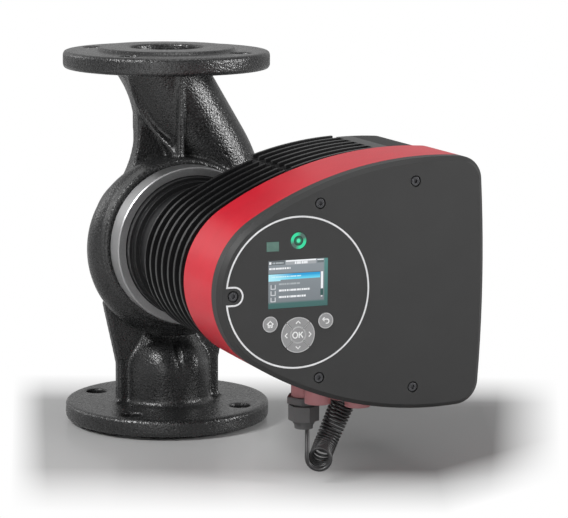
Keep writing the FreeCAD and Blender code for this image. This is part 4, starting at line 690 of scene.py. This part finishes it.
def display_glass(colours):
    """Lit menu on the display: tabs, a title, a chosen row, three rows and a scroll bar."""
    f = Finish("display_pane")
    low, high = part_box("display_window")
    x, _, z = f.axes()
    u = (x - low.x) / (high.x - low.x)
    v = (high.z - z) / (high.z - low.z)
    words = f.node("ShaderNodeTexNoise", {"noise_dimensions": "1D"}, {
        "W": u, "Scale": 48.0, "Detail": 1.0}, "Fac")
    ink = f.fade(words, 0.38, 0.52, 0.25, 1.0)
    white, dim = (0.88, 0.90, 0.92), (0.42, 0.46, 0.48)
    shown = f.mix(f.fade(v, 0.0, 1.0), shades(colours.screen, 1.25),
                  shades(colours.screen, 0.85))

    def block(left, right, top, foot, tint, amount=1.0):
        nonlocal shown
        shown = f.mix(f.within(u, left, right) * f.within(v, top, foot) * amount, shown, tint)

    block(0.00, 0.27, 0.00, 0.085, (0.10, 0.115, 0.125))
    block(0.01, 0.045, 0.02, 0.07, white)
    block(0.06, 0.25, 0.03, 0.065, dim, ink)
    block(0.29, 0.80, 0.00, 0.03, white)
    block(0.29, 0.80, 0.03, 0.095, (0.36, 0.38, 0.40))
    block(0.44, 0.66, 0.035, 0.085, white, ink)
    block(0.82, 0.93, 0.015, 0.03, white)
    block(0.82, 0.93, 0.04, 0.085, (0.13, 0.16, 0.17))
    block(0.01, 0.37, 0.145, 0.182, white, ink)
    chosen = f.mix(f.fade(v, 0.31, 0.385), colours.bar, (0.13, 0.66, 0.88))
    block(0.0, 0.87, 0.265, 0.40, f.mix(f.fade(u, 0.05, 0.42), (0.42, 0.82, 0.92), chosen))
    block(0.05, 0.55, 0.325, 0.35, (0.62, 0.90, 0.95), ink)
    block(0.0, 0.20, 0.40, 0.425, (0.40, 0.78, 0.88))
    block(0.0, 0.87, 0.265, 0.28, (0.10, 0.13, 0.15))
    block(0.17, 0.53, 0.475, 0.51, dim, ink)
    block(0.17, 0.70, 0.605, 0.645, white, ink)
    block(0.17, 0.63, 0.742, 0.782, white, ink)
    for top in (0.50, 0.63, 0.765):
        block(0.035, 0.12, top, top + 0.095, (0.62, 0.64, 0.66))
        block(0.05, 0.105, top - 0.005, top + 0.078, shades(colours.screen, 0.85))
    block(0.885, 0.92, 0.275, 0.63, white)
    block(0.875, 0.925, 0.645, 0.775, (0.030, 0.085, 0.080))
    block(0.885, 0.91, 0.785, 0.805, white)
    block(0.01, 0.035, 0.885, 0.935, dim)
    edge = f.fade(u, 0.925, 0.95).most(f.fade(v, 0.855, 0.90))
    shown = f.mix(edge, shown, f.mix(f.fade(v, 0.0, 1.0), shades(colours.shade, 1.6),
                                     shades(colours.shade, 0.8)))
    return f.surface(base_color=(0.012, 0.013, 0.014), roughness=0.22, emission_color=shown,
                     emission_strength=1.0, specular_ior_level=0.3)


def status_glass(colours):
    """Green ring, bright at its upper left and lower right, with a lit dot in the middle."""
    f = Finish("status_light")
    low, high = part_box("status_light")
    x, _, z = f.axes()
    over = (x - (low.x + high.x) / 2) / MM
    up = (z - (low.z + high.z) / 2) / MM
    away = (over * over + up * up).root()
    slant = abs(over - up) * math.sqrt(0.5) / away.most(0.05)
    ring = f.mix(f.fade(slant, 0.35, 0.85), (0.060, 0.120, 0.100), colours.light)
    glow = f.mix(f.fade(away, 2.6, 3.2), shades(colours.light, 0.16), (0.004, 0.030, 0.018))
    glow = f.mix(f.fade(away, 1.3, 2.0), (0.06, 0.78, 0.42), glow)
    glow = f.mix(f.within(away, 4.0, 6.6), glow, ring)
    glow = f.mix(f.fade(away, 6.4, 6.9), glow, (0.010, 0.022, 0.018))
    return f.surface(base_color=(0.010, 0.020, 0.016), roughness=0.2, emission_color=glow,
                     emission_strength=1.0)


def key_rubber(colours, sizes, name, middle, radius):
    """Silicone key with a pale line printed round it."""
    f = Finish(name)
    over, up = panel_place(f)
    over, up = over - middle[0], up - middle[1]
    away = (over * over + up * up).root()
    line = sizes.key_line / MM
    pale = away > radius - line * 1.6
    if name == "pad_keys":
        inner = 6.4
        rim = abs(away - inner - 0.03) < line * 1.35
        cross = (abs(abs(over) - abs(up)) < line * 1.5) * (away > inner)
        pale = pale.most(rim).most(cross)
    grain = f.noise(2400.0, 2.0, 0.5)
    tint = f.mix(f.fade(grain, 0.3, 0.7), shades(colours.key, 0.94), shades(colours.key, 1.06))
    return f.surface(base_color=f.mix(pale, tint, colours.key_edge), specular_ior_level=0.3,
                     roughness=f.fade(grain, 0.3, 0.7, 0.5, 0.6),
                     normal=f.bump(grain, 0.01 * MM, f.soft_edge(0.25 * MM)))


class PUMP_OT_panel(bpy.types.Operator):
    """Silver ring, display, status light and signal window"""

    bl_idname = "pump.panel"
    bl_label = "Panel"

    def execute(self, context):
        c = pump_colours()
        dress(moulding("silver_line", (0.66, 0.66, 0.67), 0.4, 0.2 * MM), "panel_ring")
        dress(display_glass(c), "display_window")
        dress(moulding("display_frame", (0.02, 0.02, 0.02), 0.4, 0.2 * MM), "display_module")
        dress(status_glass(c), "status_light")
        # the signal window's faint green emission is a painted glow; the window holds no lamp
        f = Finish("signal_window")
        haze = f.noise(160.0, 2.0, 0.5)
        tint = f.mix(f.fade(haze, 0.3, 0.7), (0.065, 0.125, 0.105), (0.085, 0.150, 0.125))
        dress(f.surface(base_color=tint, roughness=0.25, emission_strength=1.0,
                        emission_color=(0.012, 0.030, 0.024)), "signal_window")
        return {"FINISHED"}


class PUMP_OT_keys(bpy.types.Operator):
    """Keys, the pale web between them and their printed marks"""

    bl_idname = "pump.keys"
    bl_label = "Keys"

    def execute(self, context):
        c, s = pump_colours(), pump_sizes()
        back = box_middle("back_button")
        side, low, pad = back.x / MM, (back.z - AXIS_HEIGHT) / MM, -PAD_DROP / MM
        for name, x in (("home", -side), ("back", side)):
            dress(key_rubber(c, s, name + "_key", (x, low), 6.3), name + "_button")
        dress(key_rubber(c, s, "pad_keys", (0.0, pad), 14.3), "ok_button", "up_button",
              "down_button", "left_button", "right_button")
        self.ink = moulding("key_print", c.mark, 0.5, 0.05 * MM, 0.004)
        self.web(moulding("key_web", shades(c.key_edge, 1.1), 0.5, 0.05 * MM))
        self.mark("home_mark", "home_key", (-side, low), [
            [(-2.7, -0.1), (0.0, 2.5), (2.7, -0.1)],
            [(-1.7, 0.3), (-1.7, -2.4), (-0.6, -2.4), (-0.6, -0.7), (0.6, -0.7), (0.6, -2.4),
             (1.7, -2.4), (1.7, 0.3)]])
        turn = [(0.9 + 1.7 * math.cos(a), -0.5 + 1.7 * math.sin(a))
                for a in (math.radians(90 - 18 * step) for step in range(13))]
        self.mark("back_mark", "back_key", (side, low), [
            [(-2.6, 1.2)] + turn, [(-1.2, 2.7), (-2.8, 1.2), (-1.2, -0.3)]])
        out, arm = 10.0, 1.9
        for name, across, above in (
                ("up", 0, 1), ("down", 0, -1), ("left", -1, 0), ("right", 1, 0)):
            spot = (out * across, pad + out * above)
            self.mark(name + "_mark", name + "_key", spot, [
                [(-arm * above - 0.8 * across, -arm * across - 0.8 * above),
                 (1.1 * across, 1.1 * above),
                 (arm * above - 0.8 * across, arm * across - 0.8 * above)]])
        ring = [(2.05 * math.cos(a) - 2.5, 2.35 * math.sin(a))
                for a in (math.pi * step / 10 for step in range(21))]
        self.mark("ok_mark", "ok_key", (0.0, pad), [
            ring, [(0.9, 2.35), (0.9, -2.35)], [(3.9, 2.35), (1.2, -0.2)],
            [(2.0, 0.6), (4.1, -2.35)]])
        return {"FINISHED"}

    def web(self, plastic):
        """Pale membrane in the slits between the pad's keys."""
        radius, thick, deep = 6.425 * MM, 0.4 * MM, 0.3 * MM
        arm, arm_middle = 6.9 * MM, 10.4 * MM
        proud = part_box("ok_button")[0].y + 0.03 * MM
        mesh = bmesh.new()
        edge = mesh.verts.new((radius, 0.0, 0.0))
        low = mesh.verts.new((radius, deep, 0.0))
        start = [edge, low, mesh.edges.new((edge, low))]
        bmesh.ops.spin(mesh, geom=start, axis=(0, 1, 0), cent=(0, 0, 0), steps=48,
                       angle=2 * math.pi, use_merge=True)
        bmesh.ops.recalc_face_normals(mesh, faces=mesh.faces)
        bmesh.ops.solidify(mesh, geom=mesh.faces[:], thickness=thick)
        for quarter in range(4):
            bar = bmesh.ops.create_cube(mesh, size=1.0)["verts"]
            bmesh.ops.scale(mesh, vec=(arm, deep, thick), verts=bar)
            bmesh.ops.translate(mesh, vec=(arm_middle, deep / 2, 0.0), verts=bar)
            bmesh.ops.rotate(mesh, verts=bar, cent=(0, 0, 0),
                             matrix=Matrix.Rotation(math.radians(45 + 90 * quarter), 3, "Y"))
        bmesh.ops.translate(mesh, vec=(0.0, proud, AXIS_HEIGHT - PAD_DROP), verts=mesh.verts[:])
        piece = finished("key_web", mesh, plastic, False)
        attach(piece, "head")

    def mark(self, name, body, middle, paths):
        """Raised print on a key: round strokes along the given lines, pressed flat."""
        pressed = 0.24
        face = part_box(body.replace("_key", "_button"))[0].y
        curve = bpy.data.curves.new(name, "CURVE")
        curve.dimensions = "3D"
        curve.bevel_depth, curve.bevel_resolution = pump_sizes().mark_width / 2, 2
        curve.use_fill_caps = True
        for path in paths:
            spline = curve.splines.new("POLY")
            spline.points.add(len(path) - 1)
            for target, (x, z) in zip(spline.points, path):
                target.co = (x * MM, 0.0, z * MM, 1.0)
        data = meshed(curve)
        mesh = bmesh.new()
        mesh.from_mesh(data)
        bpy.data.meshes.remove(data)
        bmesh.ops.scale(mesh, vec=(1.0, pressed, 1.0), verts=mesh.verts[:])
        bmesh.ops.translate(mesh, vec=(middle[0] * MM, face, AXIS_HEIGHT + middle[1] * MM),
                            verts=mesh.verts[:])
        piece = finished(name, mesh, self.ink)
        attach(piece, body)


class PUMP_OT_entries(bpy.types.Operator):
    """Cable gland, its nut and the coil's fitting"""

    bl_idname = "pump.entries"
    bl_label = "Cable Entries"

    def execute(self, context):
        nylon = moulding("gland_nylon", (0.085, 0.085, 0.086), 0.45, 0.4 * MM)
        dress(nylon, "gland_body", "gland_nut", "coil_fitting")
        self.nut(nylon)
        return {"FINISHED"}

    def nut(self, nylon):
        """The gland's nut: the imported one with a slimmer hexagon, turned by half a flat."""
        slimmer, bore, dome = 0.838, 8.5 * MM, 1.0 * MM
        middle, foot = box_middle("gland_nut"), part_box("gland_nut")[0].z
        mesh = bmesh.new()
        mesh.from_mesh(NODES["gland_nut"].data)
        bmesh.ops.remove_doubles(mesh, verts=mesh.verts, dist=MERGE)
        outer = [v for v in mesh.verts
                 if v.co.z > foot + dome and (v.co - middle).xy.length > bore]
        bmesh.ops.scale(mesh, vec=(slimmer, slimmer, 1.0), verts=outer,
                        space=Matrix.Translation(-middle))
        bmesh.ops.rotate(mesh, verts=mesh.verts[:], cent=middle,
                         matrix=Matrix.Rotation(math.radians(30), 3, "Z"))
        piece = finished("gland_cap_nut", mesh, nylon, False)
        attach(piece, "head")
        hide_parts("gland_nut")


class PUMP_OT_inside(bpy.types.Operator):
    """Parts inside the pump, motor and control box"""

    bl_idname = "pump.inside"
    bl_label = "Inner Parts"

    def execute(self, context):
        dress(metal("stainless", (0.52, 0.51, 0.49), 0.28), "neck_ring", "impeller",
              "impeller_nut", "bearing_plate", "rotor_can", "shaft", "rotor_sleeve")
        dress(metal("lamination", (0.30, 0.31, 0.33), 0.5), "rotor_core", "stator_core")
        dress(metal("copper_wire", (0.60, 0.22, 0.09), 0.35), "stator_windings")
        dress(moulding("bearing_carbon", (0.02, 0.02, 0.022), 0.35, 0.2 * MM),
              "front_bearing", "rear_bearing", "thrust_bearing")
        dress(moulding("magnet_coat", (0.10, 0.10, 0.105), 0.4, 0.3 * MM), "rotor_magnets")
        dress(moulding("circuit_board", (0.01, 0.09, 0.035), 0.4, 0.1 * MM),
              "control_board", "power_board")
        dress(moulding("capacitor_sleeve", (0.02, 0.02, 0.05), 0.4, 0.3 * MM), "capacitors")
        dress(moulding("terminal_plastic", (0.35, 0.36, 0.36), 0.5, 0.3 * MM),
              "terminal_blocks")
        return {"FINISHED"}


class PUMP_PT_panel(bpy.types.Panel):
    """Pump finish in the 3D view's sidebar"""

    bl_idname = "PUMP_PT_panel"
    bl_label = "Circulator Pump"
    bl_space_type = "VIEW_3D"
    bl_region_type = "UI"
    bl_category = "Pump"

    def draw(self, context):
        for group in (context.scene.pump_sizes, context.scene.pump_colours):
            box = self.layout.box()
            for name in group.__annotations__:
                box.prop(group, name)
        for operator in OPERATORS:
            self.layout.operator(operator.bl_idname)


OPERATORS = (PUMP_OT_studio, PUMP_OT_cord, PUMP_OT_housing, PUMP_OT_motor, PUMP_OT_head,
             PUMP_OT_panel, PUMP_OT_keys, PUMP_OT_entries, PUMP_OT_inside)
CLASSES = (PumpSizes, PumpColours, *OPERATORS, PUMP_PT_panel)


def register():
    for item in CLASSES:
        bpy.utils.register_class(item)
    bpy.types.Scene.pump_sizes = bpy.props.PointerProperty(type=PumpSizes)
    bpy.types.Scene.pump_colours = bpy.props.PointerProperty(type=PumpColours)


def unregister():
    del bpy.types.Scene.pump_colours
    del bpy.types.Scene.pump_sizes
    for item in reversed(CLASSES):
        bpy.utils.unregister_class(item)


def main():
    register()
    for operator in OPERATORS:
        family, name = operator.bl_idname.split(".")
        getattr(getattr(bpy.ops, family), name)()


if __name__ == "__main__":
    main()
